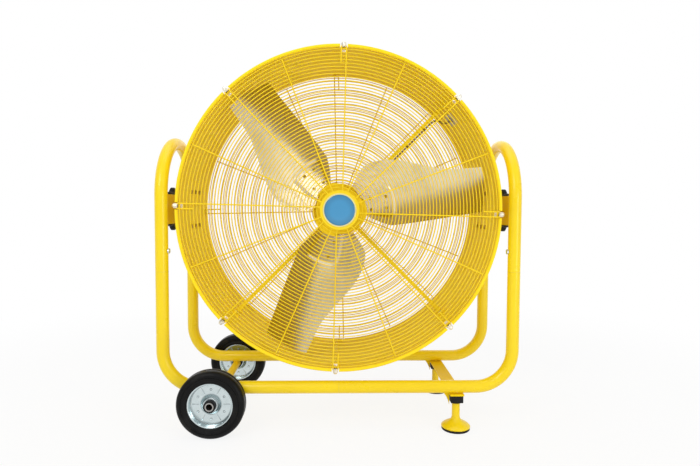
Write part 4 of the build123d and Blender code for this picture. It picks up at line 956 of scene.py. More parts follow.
def slab(name: str, low: Point, high: Point, bevel: float, segments: int = 3) -> bpy.types.Object:
    """A block with rounded edges between two corners, in millimetres.

    Args:
        name: the object's name.
        low: the lowest corner.
        high: the highest corner.
        bevel: the rounding of its edges.
        segments: facets across each rounding.

    Returns:
        The object.
    """
    work = bmesh.new()
    bmesh.ops.create_cube(work, size=1.0)
    span, middle = Vector(high) - Vector(low), (Vector(high) + Vector(low)) / 2
    for vertex in work.verts:
        vertex.co = Vector((part * size for part, size in zip(vertex.co, span))) + middle
    bmesh.ops.bevel(work, geom=work.edges[:], offset=bevel, segments=segments, profile=0.5,
                    affect="EDGES")
    bmesh.ops.scale(work, vec=(MM, MM, MM), verts=work.verts)
    mesh = mesh_of(work, name)
    tidy_mesh(mesh)
    return link_mesh(name, mesh)


def wire(points: Sequence[Sequence[float]], closed: bool = False) -> bpy.types.Object:
    """A curve object through points, in millimetres, for a tree to sweep.

    Args:
        points: the points.
        closed: whether the last joins the first.

    Returns:
        The curve object.
    """
    curve = bpy.data.curves.new("route", "CURVE")
    curve.dimensions = "3D"
    spline = curve.splines.new("POLY")
    spline.points.add(len(points) - 1)
    for target, spot in zip(spline.points, points):
        target.co = (*(Vector(spot) * MM), 1.0)
    spline.use_cyclic_u = closed
    return put("route", curve)


def bent(points: Sequence[Point], radius: float, steps: int = 10) -> list[Vector]:
    """A route with its corners bent to a radius, in millimetres.

    Args:
        points: the route's corners.
        radius: the bend radius.
        steps: points on each bend.

    Returns:
        The route's points.
    """
    spots = [Vector(points[0])]
    for before, corner, after in zip(points, points[1:], points[2:]):
        corner = Vector(corner)
        back, on = (Vector(before) - corner).normalized(), (Vector(after) - corner).normalized()
        half = back.angle(on) / 2
        centre = corner + (back + on).normalized() * (radius / math.sin(half))
        start = corner + back * (radius / math.tan(half))
        swing = math.pi - 2 * half
        normal = back.cross(on).normalized()
        for step in range(steps + 1):
            turn = Matrix.Rotation(-swing * step / steps, 3, normal)
            spots.append(centre + turn @ (start - centre))
    spots.append(Vector(points[-1]))
    return spots


def join(name: str, pieces: Sequence[bpy.types.Object]) -> bpy.types.Object:
    """Makes one object of several meshes, each with its own materials.

    Args:
        name: the new object's name.
        pieces: the objects, removed afterwards.

    Returns:
        The joined object.
    """
    work = bmesh.new()
    materials: list[bpy.types.Material] = []
    for piece in pieces:
        slots = list(piece.data.materials)
        for material in slots:
            if material not in materials:
                materials.append(material)
        first = len(work.faces)
        work.from_mesh(piece.data)
        work.faces.ensure_lookup_table()
        for face in work.faces[first:]:
            if slots:
                face.material_index = materials.index(slots[min(face.material_index, len(slots) - 1)])
        bpy.data.objects.remove(piece)
    mesh = mesh_of(work, name)
    for material in materials:
        mesh.materials.append(material)
    return link_mesh(name, mesh)


def about_z(thing: bpy.types.Object, degrees: float) -> bpy.types.Object:
    """Turns a mesh about the fan's upright axis, in its vertices."""
    if degrees:
        thing.data.transform(Matrix.Rotation(math.radians(degrees), 4, "Z"))
    return thing


def at_mouth(thing: bpy.types.Object, mouth: Mouth) -> bpy.types.Object:
    """Leaves a mesh at the front, or mirrors it to the rear of the middle plane, faces outwards.

    Args:
        thing: a mesh object built at the front.
        mouth: where it goes.

    Returns:
        The same object.
    """
    if mouth is Mouth.REAR:
        thing.data.transform(Matrix.Scale(-1, 4, (0, 1, 0)))
        thing.data.flip_normals()
    return thing


# ---------------------------------------------------------------- shared trees
class Trees:
    """The Geometry Nodes trees that several assemblies use."""

    def __init__(self) -> None:
        """Builds each tree once."""
        self.rings = self._rings()
        self.sweep = self._polar("guard wire sweep", swept=True)
        self.array = self._polar("polar array", swept=False)
        self.bead = self._bead()

    @staticmethod
    def _rings() -> ShapeGraph:
        """Concentric wire rings about the Y axis.

        Returns:
            The tree.
        """
        tree = ShapeGraph("guard rings", {"Rings": 41, "Outer Radius": 0.472, "Pitch": 0.0101,
                                          "Wire Radius": 0.0015, "Steps": 160, "Sides": 8,
                                          "Centre": (0.0, 0.0, 0.0)})
        spots = tree.node("GeometryNodePoints", None, {"Count": tree.given("Rings")})
        circle = tree.circle(tree.given("Steps"), 1.0)
        radius = tree.given("Outer Radius") - tree.node("GeometryNodeInputIndex") * tree.given("Pitch")
        scale = tree.node("ShaderNodeCombineXYZ", None, {0: radius, 1: radius, 2: 1.0})
        rings = tree.node("GeometryNodeInstanceOnPoints", None,
                          {"Points": spots, "Instance": circle, "Scale": scale})
        solid = tree.swept(tree.real(rings), "Wire Radius", {})
        tree.end(tree.node("GeometryNodeTransform", None, {
            "Geometry": solid, "Rotation": (math.pi / 2, 0.0, 0.0),
            "Translation": tree.given("Centre")}))
        return tree

    @staticmethod
    def _polar(name: str, swept: bool) -> ShapeGraph:
        """Copies of a shape built above the Y axis, turned round it; a route is made into wire first.

        Args:
            name: the tree's name.
            swept: whether the shape is a route.

        Returns:
            The tree.
        """
        sizes: dict[str, Any] = {"Count": 8, "First": 0.0, "Step": math.pi / 4,
                                 "Centre": (0.0, 0.0, 0.0)}
        if swept:
            sizes.update({"Wire Radius": 0.002, "Sides": 10})
        tree = ShapeGraph(name, sizes)
        spots = tree.node("GeometryNodePoints", None,
                          {"Count": tree.given("Count"), "Position": tree.given("Centre")})
        angle = tree.given("First") + tree.node("GeometryNodeInputIndex") * tree.given("Step")
        turn = tree.node("ShaderNodeCombineXYZ", None, {1: angle})
        copies = tree.node("GeometryNodeInstanceOnPoints", None,
                           {"Points": spots, "Instance": tree.given("Geometry"), "Rotation": turn})
        if swept:
            copies = tree.swept(tree.real(copies), "Wire Radius", {"Fill Caps": True})
        tree.end(copies)
        return tree

    @staticmethod
    def _bead() -> ShapeGraph:
        """A rippled weld bead along a route.

        Returns:
            The tree.
        """
        tree = ShapeGraph("weld bead", {"Radius": 0.0018, "Ripple": 0.0022, "Depth": 0.16, "Sides": 8,
                                        "Seed": 3, "Facet": 0.00045, "Wander": 0.3,
                                        "Wander Waves": 180.0})
        fine = tree.node("GeometryNodeResampleCurve", {"mode": "LENGTH"},
                         {"Curve": tree.given("Geometry"), "Length": tree.given("Facet")})
        along = tree.node("GeometryNodeSplineParameter", output="Length")
        wander = tree.node("ShaderNodeTexNoise", {"noise_dimensions": "4D"},
                           {"Scale": tree.given("Wander Waves"), "W": tree.given("Seed")})
        wave = (along * (2 * math.pi) / tree.given("Ripple")).sine()
        thick = 0.85 + wave * tree.given("Depth") + wander * tree.given("Wander")
        shaped = tree.node("GeometryNodeSetCurveRadius", None, {"Curve": fine, "Radius": thick})
        scale = tree.node("GeometryNodeInputRadius")
        tree.end(tree.swept(shaped, "Radius", {"Fill Caps": True, "Scale": scale}))
        return tree


@dataclass(frozen=True)
class Stations:
    """The stations round each mouth where a hairpin and a bolt hold the guard."""

    count: int = 8
    turn: float = -1.3

    def inputs(self, shift: float = 0.0) -> dict[str, Any]:
        """The inputs that a polar tree takes for them.

        Args:
            shift: how far past each station, as a share of the step between two.

        Returns:
            The named inputs.
        """
        step = 2 * math.pi / self.count
        first = math.radians(90 - self.turn) - step * (self.count - 1)
        return {"Count": self.count, "First": first + shift * step, "Step": step, "Centre": CENTRE_M}


@dataclass
class Kit:
    """What every assembly needs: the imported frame's nodes and the shared trees."""

    nodes: dict[str, bpy.types.Object]
    trees: Trees

    def dress(self, finish: Finish, *names: str) -> None:
        """Gives CAD nodes a finish in place of their plain one.

        Args:
            finish: the finish.
            names: the nodes.
        """
        for name in names:
            data = self.nodes[name].data
            data.materials.clear()
            data.materials.append(finish.material())
            LOG.info("%s: %s", name, finish.name)

    def add(self, piece: bpy.types.Object, body: str, finish: Finish | None, slot: str,
            *nodes: str) -> bpy.types.Object:
        """Finishes a new piece: its material, its body and the CAD nodes it stands for.

        Args:
            piece: the object.
            body: the body it moves with.
            finish: its finish, or None where its meshes have theirs.
            slot: the record's material slot; not used.
            nodes: the CAD nodes that it replaces.

        Returns:
            The piece.
        """
        if finish:
            piece.data.materials.clear()
            piece.data.materials.append(finish.material())
        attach(piece, body)
        if nodes:
            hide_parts(*nodes)
        LOG.info("%s: %d faces on %s", piece.name, len(piece.data.polygons), body)
        return piece

    def weld(self, name: str, body: str, finish: Finish, slot: str, routes: Sequence[Sequence[Point]],
             radius: float = 1.8, closed: bool = False) -> None:
        """Lays weld beads along routes, as one piece.

        Args:
            name: the piece's name.
            body: the body it rides on.
            finish: the paint over it.
            slot: the record's material slot.
            routes: each bead's points, in millimetres.
            radius: the bead's half width, in millimetres.
            closed: whether each route is a loop.
        """
        beads = [self.trees.bead.bake(wire(route, closed), name, {
            "Radius": radius * MM, "Seed": index, "Material": finish.material()})
            for index, route in enumerate(routes)]
        self.add(join(name, beads), body, None, slot)


# ---------------------------------------------------------------- frame
@dataclass
class TubeFrame:
    """The yellow tube frame with its brackets and welds."""

    kit: Kit
    rail_y: float = 172.0
    tube_r: float = 19.0
    rail_low: float = 113.0
    axle_x: float = -374.75
    axle_r: float = 12.7
    axle_weld_reach: float = 8.0
    axle_weld_r: float = 2.2
    foot_x: float = 358.75
    bar_half: float = 20.0
    bar_weld_gap: float = 4.0
    bar_weld_drop: float = 0.2
    bar_weld_r: float = 1.5
    riser_x: float = 529.75
    plate_y: float = 152.6
    plate_edge: float = 3.4
    plate_half: float = 42.0
    plate_weld_r: float = 1.9
    block_half: float = 19.0
    block_bevel: float = 1.8
    collar: Outline = ((12.2, 0.0), (17.5, 0.0), (17.5, 4.0), (12.2, 4.0))
    collar_shown: float = 2.0

    def build(self) -> None:
        """Dresses the frame's nodes and adds its welds."""
        kit = self.kit
        for tube in ("front_frame_tube", "rear_frame_tube", "side_arch"):
            kit.dress(Paints.FRAME, f"{tube}_left", f"{tube}_right")
        kit.dress(Paints.FLAT, "pivot_plates", "foot_crossbar")
        kit.dress(Paints.AXLE, "axle_tube")
        kit.dress(Paints.BOLT, "riser_bolts")
        kit.dress(Paints.STEEL, "tube_sleeves")
        kit.dress(Paints.NYLON, "axle_collars")
        self._rail_welds()
        self._plate_welds()
        self._sockets()

    def _rail_welds(self) -> None:
        """Beads between the rails and the cross bar, and round the axle tube's two crossings."""
        z = self.rail_low - self.bar_weld_drop
        rows = [face * self.rail_y + edge * self.bar_weld_gap for face in (-1, 1) for edge in (-1, 1)]
        routes = [[(self.foot_x + end * self.bar_half, y, z) for end in (-1, 1)] for y in rows]
        self.kit.weld("rail_welds", "frame", Paints.FRAME, "frame_yellow", routes, self.bar_weld_r)
        angles = [math.radians(10 * step) for step in range(36)]
        loops = [[self._crossing(face, angle) for angle in angles] for face in (-1, 1)]
        self.kit.weld("axle_welds", "frame", Paints.FRAME, "frame_yellow", loops, self.axle_weld_r,
                      closed=True)

    def _crossing(self, face: int, angle: float) -> Point:
        """A point halfway between rail and axle tube, on a loop round the place where they touch.

        Args:
            face: the sign of the rail's Y.
            angle: how far round the loop.

        Returns:
            The point.
        """
        along, across = self.axle_weld_reach * math.cos(angle), self.axle_weld_reach * math.sin(angle)
        tube = self.tube_r - math.sqrt(self.tube_r ** 2 - across ** 2)
        axle = self.axle_r - math.sqrt(self.axle_r ** 2 - along ** 2)
        return self.axle_x + along, face * self.rail_y + across, self.rail_low + (tube - axle) / 2

    def _plate_welds(self) -> None:
        """Beads between the pivot plates and the risers."""
        routes = []
        for side in Side:
            for face in (-1, 1):
                for edge in (-1, 1):
                    x, y = side.value * self.riser_x + edge * self.plate_edge, face * self.plate_y
                    routes.append([(x, y, AXIS_Z + end * self.plate_half) for end in (-1, 1)])
        self.kit.weld("plate_welds", "frame", Paints.FRAME, "frame_yellow", routes, self.plate_weld_r)

    def _sockets(self) -> None:
        """The black foot blocks, with softened edges and a moulded collar."""
        low, high = (corner.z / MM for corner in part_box("foot_sockets"))
        half, collar, pieces = self.block_half, rounded(self.collar, 0.8), []
        for face in (-1, 1):
            y = face * self.rail_y
            pieces.append(slab("foot_socket", (self.foot_x - half, y - half, low + self.collar_shown),
                               (self.foot_x + half, y + half, high), self.block_bevel))
            pieces.append(lathe("foot_collar", collar, Turn.Z, (self.foot_x, y, low), 48))
        self.kit.add(join("foot_blocks", pieces), "frame", Paints.NYLON, "plastic_black", "foot_sockets")


# ---------------------------------------------------------------- wheels and feet
@dataclass
class Wheel:
    """A solid rubber tyre on a pressed, spot-welded steel wheel."""

    kit: Kit
    mouth: Mouth
    centre: Point = (-374.75, -222.0, 100.0)
    tyre_wall: Outline = ((66.1, 21.5), (70.0, 25.0), (74.0, 25.0), (74.6, 24.4), (80.5, 24.4),
                          (81.5, 25.0), (82.8, 25.0), (83.4, 23.9), (84.6, 23.9), (85.2, 25.0))
    tyre_tread: Outline = ((100.0, 9.5), (99.3, 9.1), (99.3, 8.5), (100.0, 8.1), (100.0, 0.4),
                           (99.75, 0.0))
    shoulder: tuple[float, float] = (87.0, 12.0)
    shoulder_r: float = 13.0
    web: float = 4.0
    sheet: float = 2.5
    web_start: float = 57.6
    web_step: float = 0.8
    web_steps: int = 30
    pressed: tuple[float, float] = (34.0, 58.0)
    spokes: int = 6
    flute_span: tuple[float, float] = (36.0, 56.0)
    flute_half: float = 2.4
    flute_depth: float = 0.9
    weld_circle: float = 44.0
    weld_r: float = 4.2
    weld_depth: float = 1.0
    bush: Outline = ((12.75, -25.5), (16.0, -25.5), (18.0, -23.8), (18.0, 23.8), (16.0, 25.5),
                     (12.75, 25.5))

    def build(self) -> None:
        """Builds tyre, wheel and bush and puts them in place."""
        name = self.mouth.name.lower()
        body = f"wheel_{name}"
        halves = join(f"wheel_steel_{name}", [self._half(-1), self._half(1)])
        bush = lathe(f"wheel_sleeve_{name}", rounded(self.bush, 0.7), Turn.Y, self.centre, 64)
        for piece, finish, slot, node in ((self._tyre(name), Paints.TYRE, "tyre_black", "tyre"),
                                          (halves, Paints.WHEEL, "wheel_zinc", "wheel_discs"),
                                          (bush, Paints.NYLON, "plastic_black", "wheel_bush")):
            self.kit.add(at_mouth(piece, self.mouth), body, finish, slot, f"{node}_{name}")

    def _tyre(self, name: str) -> bpy.types.Object:
        """The tyre, with a groove and a step in each wall and two fine tread lines.

        Args:
            name: the name of the wheel's mouth.

        Returns:
            The tyre.
        """
        angles = [math.radians(90 - 9 * step) for step in range(11)]
        shoulder = [(self.shoulder[0] + self.shoulder_r * math.cos(angle),
                     self.shoulder[1] + self.shoulder_r * math.sin(angle)) for angle in angles]
        upper = [*self.tyre_wall, *shoulder, *self.tyre_tread]
        lower = [(radius, -along) for radius, along in reversed(upper[:-1])]
        return lathe(f"tyre_rubber_{name}", upper + lower, Turn.Y, self.centre, 120, crease=50.0)

    def _half(self, side: int) -> bpy.types.Object:
        """One pressed half, with radial flutes and weld dimples.

        Args:
            side: the sign of Y it faces.

        Returns:
            The half wheel.
        """
        top, low = self.web, self.web - self.sheet
        outer = [(66.0, 0.06), (66.0, 22.0), (63.6, 22.0), (62.6, 21.2), (61.8, top + 4.0),
                 (60.6, top + 1.0), (58.6, top)]
        flat = [(self.web_start - self.web_step * step, top) for step in range(self.web_steps)]
        inner = [(30.0, top + 0.6), (28.4, top + 2.6), (22.2, 18.2), (20.6, 19.5), (18.1, 19.5),
                 (18.1, 17.0), (29.1, low), (60.5, low), (63.5, low), (63.5, 0.06)]

        def press(radius: float, along: float, angle: float) -> tuple[float, float]:
            """Presses radial flutes and round dimples into the outer face.

            Args:
                radius: the distance of a point from the axis.
                along: its distance along the axis.
                angle: its angle round the axis.

            Returns:
                The point's new radius and distance.
            """
            if abs(along - top) > 0.1 or not self.pressed[0] <= radius <= self.pressed[1]:
                return radius, side * along
            turn = self.spokes * angle / (2 * math.pi) + 0.5
            flute = abs(turn - math.floor(turn) - 0.5) * 2 * math.pi / self.spokes * radius
            if self.flute_span[0] <= radius <= self.flute_span[1] and flute < self.flute_half:
                along -= self.flute_depth * swell(math.pi * flute / self.flute_half)
            off = min(turn - math.floor(turn), math.ceil(turn) - turn) * 2 * math.pi / self.spokes
            away = math.hypot(radius - self.weld_circle, off * radius)
            if away < self.weld_r:
                along += self.weld_depth * swell(math.pi * away / self.weld_r)
            return radius, side * along

        return lathe("wheel_half", outer + flat + inner, Turn.Y, self.centre, 240, press, crease=38.0)


@dataclass
class LevellingFoot:
    """A flared foot on its stem, with a ribbed rubber pad."""

    kit: Kit
    mouth: Mouth
    centre: Point = (358.75, -172.0, 0.0)
    flare: Outline = ((0.0, 8.0), (42.4, 8.0), (44.0, 9.4), (44.0, 11.2), (43.0, 13.4), (39.6, 16.4),
                      (34.0, 20.0), (27.0, 23.8), (20.8, 27.2), (16.4, 30.6), (13.8, 34.4), (12.6, 38.6))
    stem_start: float = 44.0
    stem_r: float = 12.0
    chamfer: float = 1.2
    pad: Outline = ((0.0, 0.0), (40.5, 0.0), (43.0, 1.6), (43.0, 7.95), (0.0, 7.95))

    def build(self) -> None:
        """Builds the foot and its pad."""
        name = self.mouth.name.lower()
        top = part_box(f"foot_screw_{name}")[1].z / MM
        stem = [(self.stem_r, self.stem_start), (self.stem_r, top - self.chamfer),
                (self.stem_r - self.chamfer, top), (0.0, top)]
        foot = lathe(f"foot_casting_{name}", [*self.flare, *stem], Turn.Z, self.centre, 72)
        flutes = fluted(count=48, depth=0.7, inner=41.0, low=1.0, high=6.5)
        pad = lathe(f"foot_rubber_{name}", rounded(self.pad, 0.8), Turn.Z, self.centre, 192, flutes)
        for piece, finish, slot, node in ((foot, Paints.FRAME, "foot_yellow", "foot_screw"),
                                          (pad, Paints.PAD, "rubber_black", "foot_pad")):
            self.kit.add(at_mouth(piece, self.mouth), f"foot_{name}", finish, slot, f"{node}_{name}")


# ---------------------------------------------------------------- drum and guards
@dataclass
class Guard:
    """One wire guard: rings, spokes, hairpins over the rim and a centre plate."""

    kit: Kit
    mouth: Mouth
    stations: Stations = Stations()
    drum_out: float = 478.5
    clear: float = 0.05
    front: float = -190.0
    spoke_y: float = -187.5
    ring_y: float = -183.95
    wire_r: float = 2.0
    ring_r: float = 1.5
    outer: float = 472.0
    pitch: float = 10.1
    rings: int = 41
    half: float = 7.5
    bend: float = 6.0
    inner: float = 52.0
    short_inner: float = 429.0
    bolt_back: float = 28.0
    bend_steps: int = 8
    loop_steps: int = 14
    plate: Outline = ((5.0, 0.0), (5.0, 2.0), (51.0, 2.0), (52.4, 1.3), (54.6, 1.3), (56.0, 2.0),
                      (58.0, 2.0), (59.0, 1.2), (59.0, 0.0))

    def build(self) -> None:
        """Builds the guard and puts it at its mouth."""
        name = self.mouth.name.lower()
        trees, paint = self.kit.trees, Paints.WIRE.material()
        blank = link_mesh("blank", bpy.data.meshes.new("blank"))
        rings = trees.rings.bake(blank, "rings", {
            "Rings": self.rings, "Outer Radius": self.outer * MM, "Pitch": self.pitch * MM,
            "Wire Radius": self.ring_r * MM, "Centre": (0.0, self.ring_y * MM, AXIS_Z * MM),
            "Material": paint})
        spoke = [(0.0, self.spoke_y, radius) for radius in (self.inner, self.outer)]
        made = {"Wire Radius": self.wire_r * MM, "Material": paint}
        pins, spokes = [
            trees.sweep.bake(wire(route), kind, {**self.stations.inputs(shift), **made})
            for kind, route, shift in (("pins", self._hairpin(), 0.0), ("spokes", spoke, -0.5))]
        grille = about_z(join(f"guard_wires_{name}", [rings, pins, spokes]), self.mouth.value)
        self.kit.add(grille, "drum", None, "guard_yellow", f"guard_rings_{name}")
        pressed = moved(self.plate, self.spoke_y - self.wire_r / 2, -1)
        plate = about_z(lathe(f"guard_plate_{name}", pressed, Turn.Y, CENTRE), self.mouth.value)
        self.kit.add(plate, "drum", Paints.WIRE, "guard_yellow", f"guard_frame_{name}")

    def _hairpin(self) -> list[Vector]:
        """The hairpin's route above the axis: out over the rim, round the bolt and back.

        Returns:
            The route's points.
        """
        outside = self.drum_out + self.clear + self.wire_r
        turn_y = self.front + self.bolt_back
        legs = []
        for x, inner in ((self.half, self.inner), (-self.half, self.short_inner)):
            corners = [(x, self.spoke_y, inner), (x, self.spoke_y, outside), (x, turn_y, outside)]
            legs.append(bent(corners, self.bend, self.bend_steps))
        angles = [math.pi * step / self.loop_steps for step in range(1, self.loop_steps)]
        loop = [Vector((self.half * math.cos(angle), turn_y + self.half * math.sin(angle), outside))
                for angle in angles]
        return legs[0] + loop + legs[1][::-1]


@dataclass
class Drum:
    """The drum's shell, its badge, its fasteners, its brackets and its hand-wheels."""

    kit: Kit
    stations: Stations = Stations()
    seam_r: float = 476.3
    seam_half: float = 175.0
    seam_weld_r: float = 1.6
    badge_back: float = -190.5
    badge_r: float = 46.0
    badge: Outline = ((0.0, 0.0), (45.9, 0.0), (45.9, 0.7), (45.0, 1.15))
    badge_flat: float = 45.0
    badge_rise: float = 1.95
    badge_fall: float = 0.75
    badge_radii: tuple[float, ...] = (40.0, 32.0, 24.0, 16.0, 8.0, 0.0)
    ring: Outline = ((46.1, 0.0), (46.1, 1.9), (49.95, 1.9), (49.95, 0.0))
    bolt_y: float = -162.0
    washer_low: float = 482.6
    washer: Outline = ((5.1, 0.0), (10.0, 0.0), (10.0, 1.6), (5.1, 1.6))
    nut_low: float = 1.65
    nut: Outline = ((0.0, 0.0), (7.6, 0.0), (9.0, 1.0), (9.0, 8.0), (7.9, 9.4), (7.4, 9.6))
    nut_flat: float = 7.6
    nut_top: float = 9.5
    dome: tuple[float, float] = (7.4, 8.0)
    dome_low: float = 9.9
    head_low: float = 470.45
    head: Outline = ((0.0, 0.0), (8.2, 0.0), (9.4, 1.0), (9.4, 6.3), (0.0, 6.3))
    head_flat: float = 8.4
    head_top: float = 7.0
    grip_start: float = 532.55
    grip: Outline = ((10.05, 0.0), (24.0, 0.0), (24.0, 6.0), (64.0, 6.0), (70.0, 9.0), (70.0, 19.0),
                     (64.0, 22.0), (58.0, 22.0), (52.0, 18.0), (34.0, 18.0), (26.0, 21.0), (24.0, 28.0),
                     (20.0, 30.0), (0.0, 30.0), (0.0, 26.0), (10.05, 26.0))
    grip_round: float = 2.6
    lobes: int = 8
    lobe_start: float = 50.0
    lobe_width: float = 20.0
    lobe_depth: float = 10.5
    lobe_power: float = 1.6

    def build(self) -> None:
        """Dresses the shell and builds what sits on it."""
        kit = self.kit
        kit.dress(Paints.DRUM, "drum_shell", "pivot_brackets")
        kit.dress(Paints.BOLT, "pivot_studs", "strut_bolts", "switch_screws")
        kit.dress(Paints.SHADE_PAINTED_BOLT, "pivot_bolts")
        kit.dress(Paints.PAD, "friction_discs")
        seam = [(0.0, end * self.seam_half, AXIS_Z - self.seam_r) for end in (-1, 1)]
        kit.weld("drum_seam", "drum", Paints.DRUM, "drum_yellow", [seam], self.seam_weld_r)
        self._badge()
        self._guard_bolts()
        for side in Side:
            self._handwheel(side)

    def _guard_bolts(self) -> None:
        """The guard bolts: washer and domed nut outside, hexagon head inside, eight at each mouth."""
        place, low = (0.0, self.bolt_y, 0.0), self.washer_low + self.nut_low
        angles = [math.radians(9 * step) for step in range(11)]
        dome = [(self.dome[0] * math.cos(angle), self.dome_low + self.dome[1] * math.sin(angle))
                for angle in angles]
        washer = rounded(moved(self.washer, self.washer_low), 0.4, 2)
        nut, head = moved([*self.nut, *dome], low), moved(self.head, self.head_low)
        nut_flats = self._hexagon(self.nut_flat, low + self.nut_top)
        head_flats = self._hexagon(self.head_flat, self.head_low + self.head_top)
        one = join("guard_bolt", [lathe("washer", washer, Turn.Z, place, 32),
                                  lathe("nut", nut, Turn.Z, place, 48, nut_flats),
                                  lathe("head", head, Turn.Z, place, 48, head_flats)])
        inputs = {**self.stations.inputs(), "Material": Paints.DOME.material()}
        front = self.kit.trees.array.bake(one, "guard_bolts_front", inputs)
        rear = about_z(link_mesh("guard_bolts_rear", front.data.copy()), Mouth.REAR.value)
        nuts = join("guard_dome_nuts", [front, rear])
        self.kit.add(nuts, "drum", Paints.DOME, "bolt_zinc", "guard_bolts")

    @staticmethod
    def _hexagon(flat: float, top: float) -> Shape:
        """A shape function that cuts a turned bar to six flats below a height.

        Args:
            flat: the distance from the axis to a flat.
            top: the height above which the bar stays round.

        Returns:
            The function.
        """
        def shape(radius: float, along: float, angle: float) -> tuple[float, float]:
            """Pulls a point in to the nearest flat.

            Args:
                radius: the distance of a point from the axis.
                along: its distance along the axis.
                angle: its angle round the axis.

            Returns:
                The point's new radius and distance.
            """
            if along > top:
                return radius, along
            turn = (angle + math.pi / 6) % (math.pi / 3) - math.pi / 6
            return min(radius, flat / math.cos(turn)), along

        return shape

    def _badge(self) -> None:
        """The bare domed badge and its rolled ring."""
        back = self.badge_back
        centre = (0.0, back * MM, AXIS_Z * MM)
        dome = moved(self.badge, back, -1)
        dome += [(radius, back - self.badge_rise + self.badge_fall * (radius / self.badge_flat) ** 4)
                 for radius in self.badge_radii]
        resin = DomedResin("badge resin", (0.045, 0.28, 0.53), centre, self.badge_r * MM)
        badge = lathe("badge_dome", dome, Turn.Y, CENTRE)
        self.kit.add(badge, "drum", resin, "badge_blue", "guard_badge")
        ring = rounded(moved(self.ring, back, -1), 0.8, 4)
        pale = DomedResin("badge ring resin", (0.80, 0.72, 0.28), centre, 0.2)
        bezel = lathe("badge_bezel", ring, Turn.Y, CENTRE)
        self.kit.add(bezel, "drum", pale, "badge_pale", "badge_ring")

    def _handwheel(self, side: Side) -> None:
        """A lobed clamping wheel with a dished face and a raised hub.

        Args:
            side: which side of the fan it is on.
        """
        def lobe(radius: float, along: float, angle: float) -> tuple[float, float]:
            """Draws the rim in between the lobes."""
            between = (1 - swell(self.lobes * angle)) ** self.lobe_power
            pull = self.lobe_depth * between * max(0.0, (radius - self.lobe_start) / self.lobe_width)
            return radius - pull, side.value * (self.grip_start + along)

        name = side.name.lower()
        outline = rounded(self.grip, self.grip_round, 4)
        wheel = lathe(f"grip_wheel_{name}", outline, Turn.X, CENTRE, 160, lobe, crease=60.0)
        self.kit.add(wheel, f"handwheel_{name}", Paints.NYLON, "plastic_black", f"handwheel_{name}")


# ---------------------------------------------------------------- motor, wiring and rotor
@dataclass
class Motor:
    """The motor on its four struts, with its wiring and the switch box."""

    kit: Kit
    strut_angles: tuple[float, ...] = (45.0, 135.0, 225.0, 315.0)
    strut_ends: tuple[float, float] = (84.6, 471.9)
    strut_edge: float = 6.9
    strut_weld_half: float = 24.0
    strut_weld_r: float = 1.5
    rear: float = 150.1
    rib_half: float = 1.6
    rib_sunk: float = 0.3
    rib_span: tuple[float, float] = (30.0, 66.0)
    ribs: int = 12
    rib_turn: float = 0.26
    knob_angle: float = 39.0
    skirt: Outline = ((0.0, 0.0), (18.0, 0.0), (17.2, 7.5), (13.5, 10.0), (0.0, 10.0))
    pointer: Point = (3.5, 7.0, 16.5)
    pointer_start: float = 8.0

    def build(self) -> None:
        """Dresses the motor's nodes and adds welds, ribs and the knob."""
        kit = self.kit
        kit.dress(Paints.DRUM, "motor_struts", "motor_shell", "motor_bells")
        kit.dress(Paints.STEEL, "motor_bearings", "motor_stator")
        kit.dress(Paints.BOX, "terminal_box", "switch_box")
        kit.dress(Paints.PLATE, "wiring_backplate")
        kit.dress(Paints.CABLE, "motor_cable", "cable_clips")
        kit.dress(Paints.NYLON, "cable_gland")
        self._strut_welds()
        self._bell_ribs()
        self._knob()

    @staticmethod
    def _around(angle: float, across: float, y: float, radius: float) -> Point:
        """A point built above the axis, then turned round it.

        Args:
            angle: the turn, in degrees from +X.
            across: how far to the side.
            y: how far along the axis.
            radius: how far from the axis.

        Returns:
            The point.
        """
        turn = math.radians(angle)
        return (radius * math.cos(turn) + across * math.sin(turn), y,
                AXIS_Z + radius * math.sin(turn) - across * math.cos(turn))

    def _strut_welds(self) -> None:
        """Beads where each strut meets the motor's clamp and its own foot."""
        reach = self.strut_weld_half
        routes = [[self._around(angle, edge * self.strut_edge, y, radius) for y in (-reach, reach)]
                  for angle in self.strut_angles for edge in (-1, 1) for radius in self.strut_ends]
        self.kit.weld("strut_welds", "drum", Paints.DRUM, "drum_yellow", routes, self.strut_weld_r)

    def _bell_ribs(self) -> None:
        """Raised ribs on the rear end cover."""
        half, (start, end) = self.rib_half, self.rib_span
        low, high = (-half, self.rear - self.rib_sunk, start), (half, self.rear + half, end)
        rib = slab("rib", low, high, 0.7, 2)
        ribs = self.kit.trees.array.bake(rib, "bell_ribs", {
            "Count": self.ribs, "First": self.rib_turn, "Step": 2 * math.pi / self.ribs,
            "Centre": CENTRE_M, "Material": Paints.DRUM.material()})
        self.kit.add(ribs, "drum", None, "drum_yellow")

    def _knob(self) -> None:
        """The switch's knob: a fluted skirt under a raised pointer bar."""
        low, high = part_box("switch_knob")
        middle = (low + high) / 2 / MM
        place = (middle.x, low.y / MM, middle.z)
        flutes = fluted(count=24, depth=0.6, inner=14.0, low=1.0, high=10.5)
        base = lathe("knob_skirt", rounded(self.skirt, 1.0), Turn.Y, place, 144, flutes)
        (half, rise, reach), start = self.pointer, self.pointer_start
        bar = slab("knob_bar", (-half, start, -reach), (half, start + rise, reach), 1.4)
        turn = Matrix.Rotation(math.radians(90.0 - self.knob_angle), 4, "Y")
        bar.data.transform(Matrix.Translation([part * MM for part in place]) @ turn)
        knob = join("knob", [base, bar])
        self.kit.add(knob, "switch_knob", Paints.NYLON, "plastic_black", "switch_knob")


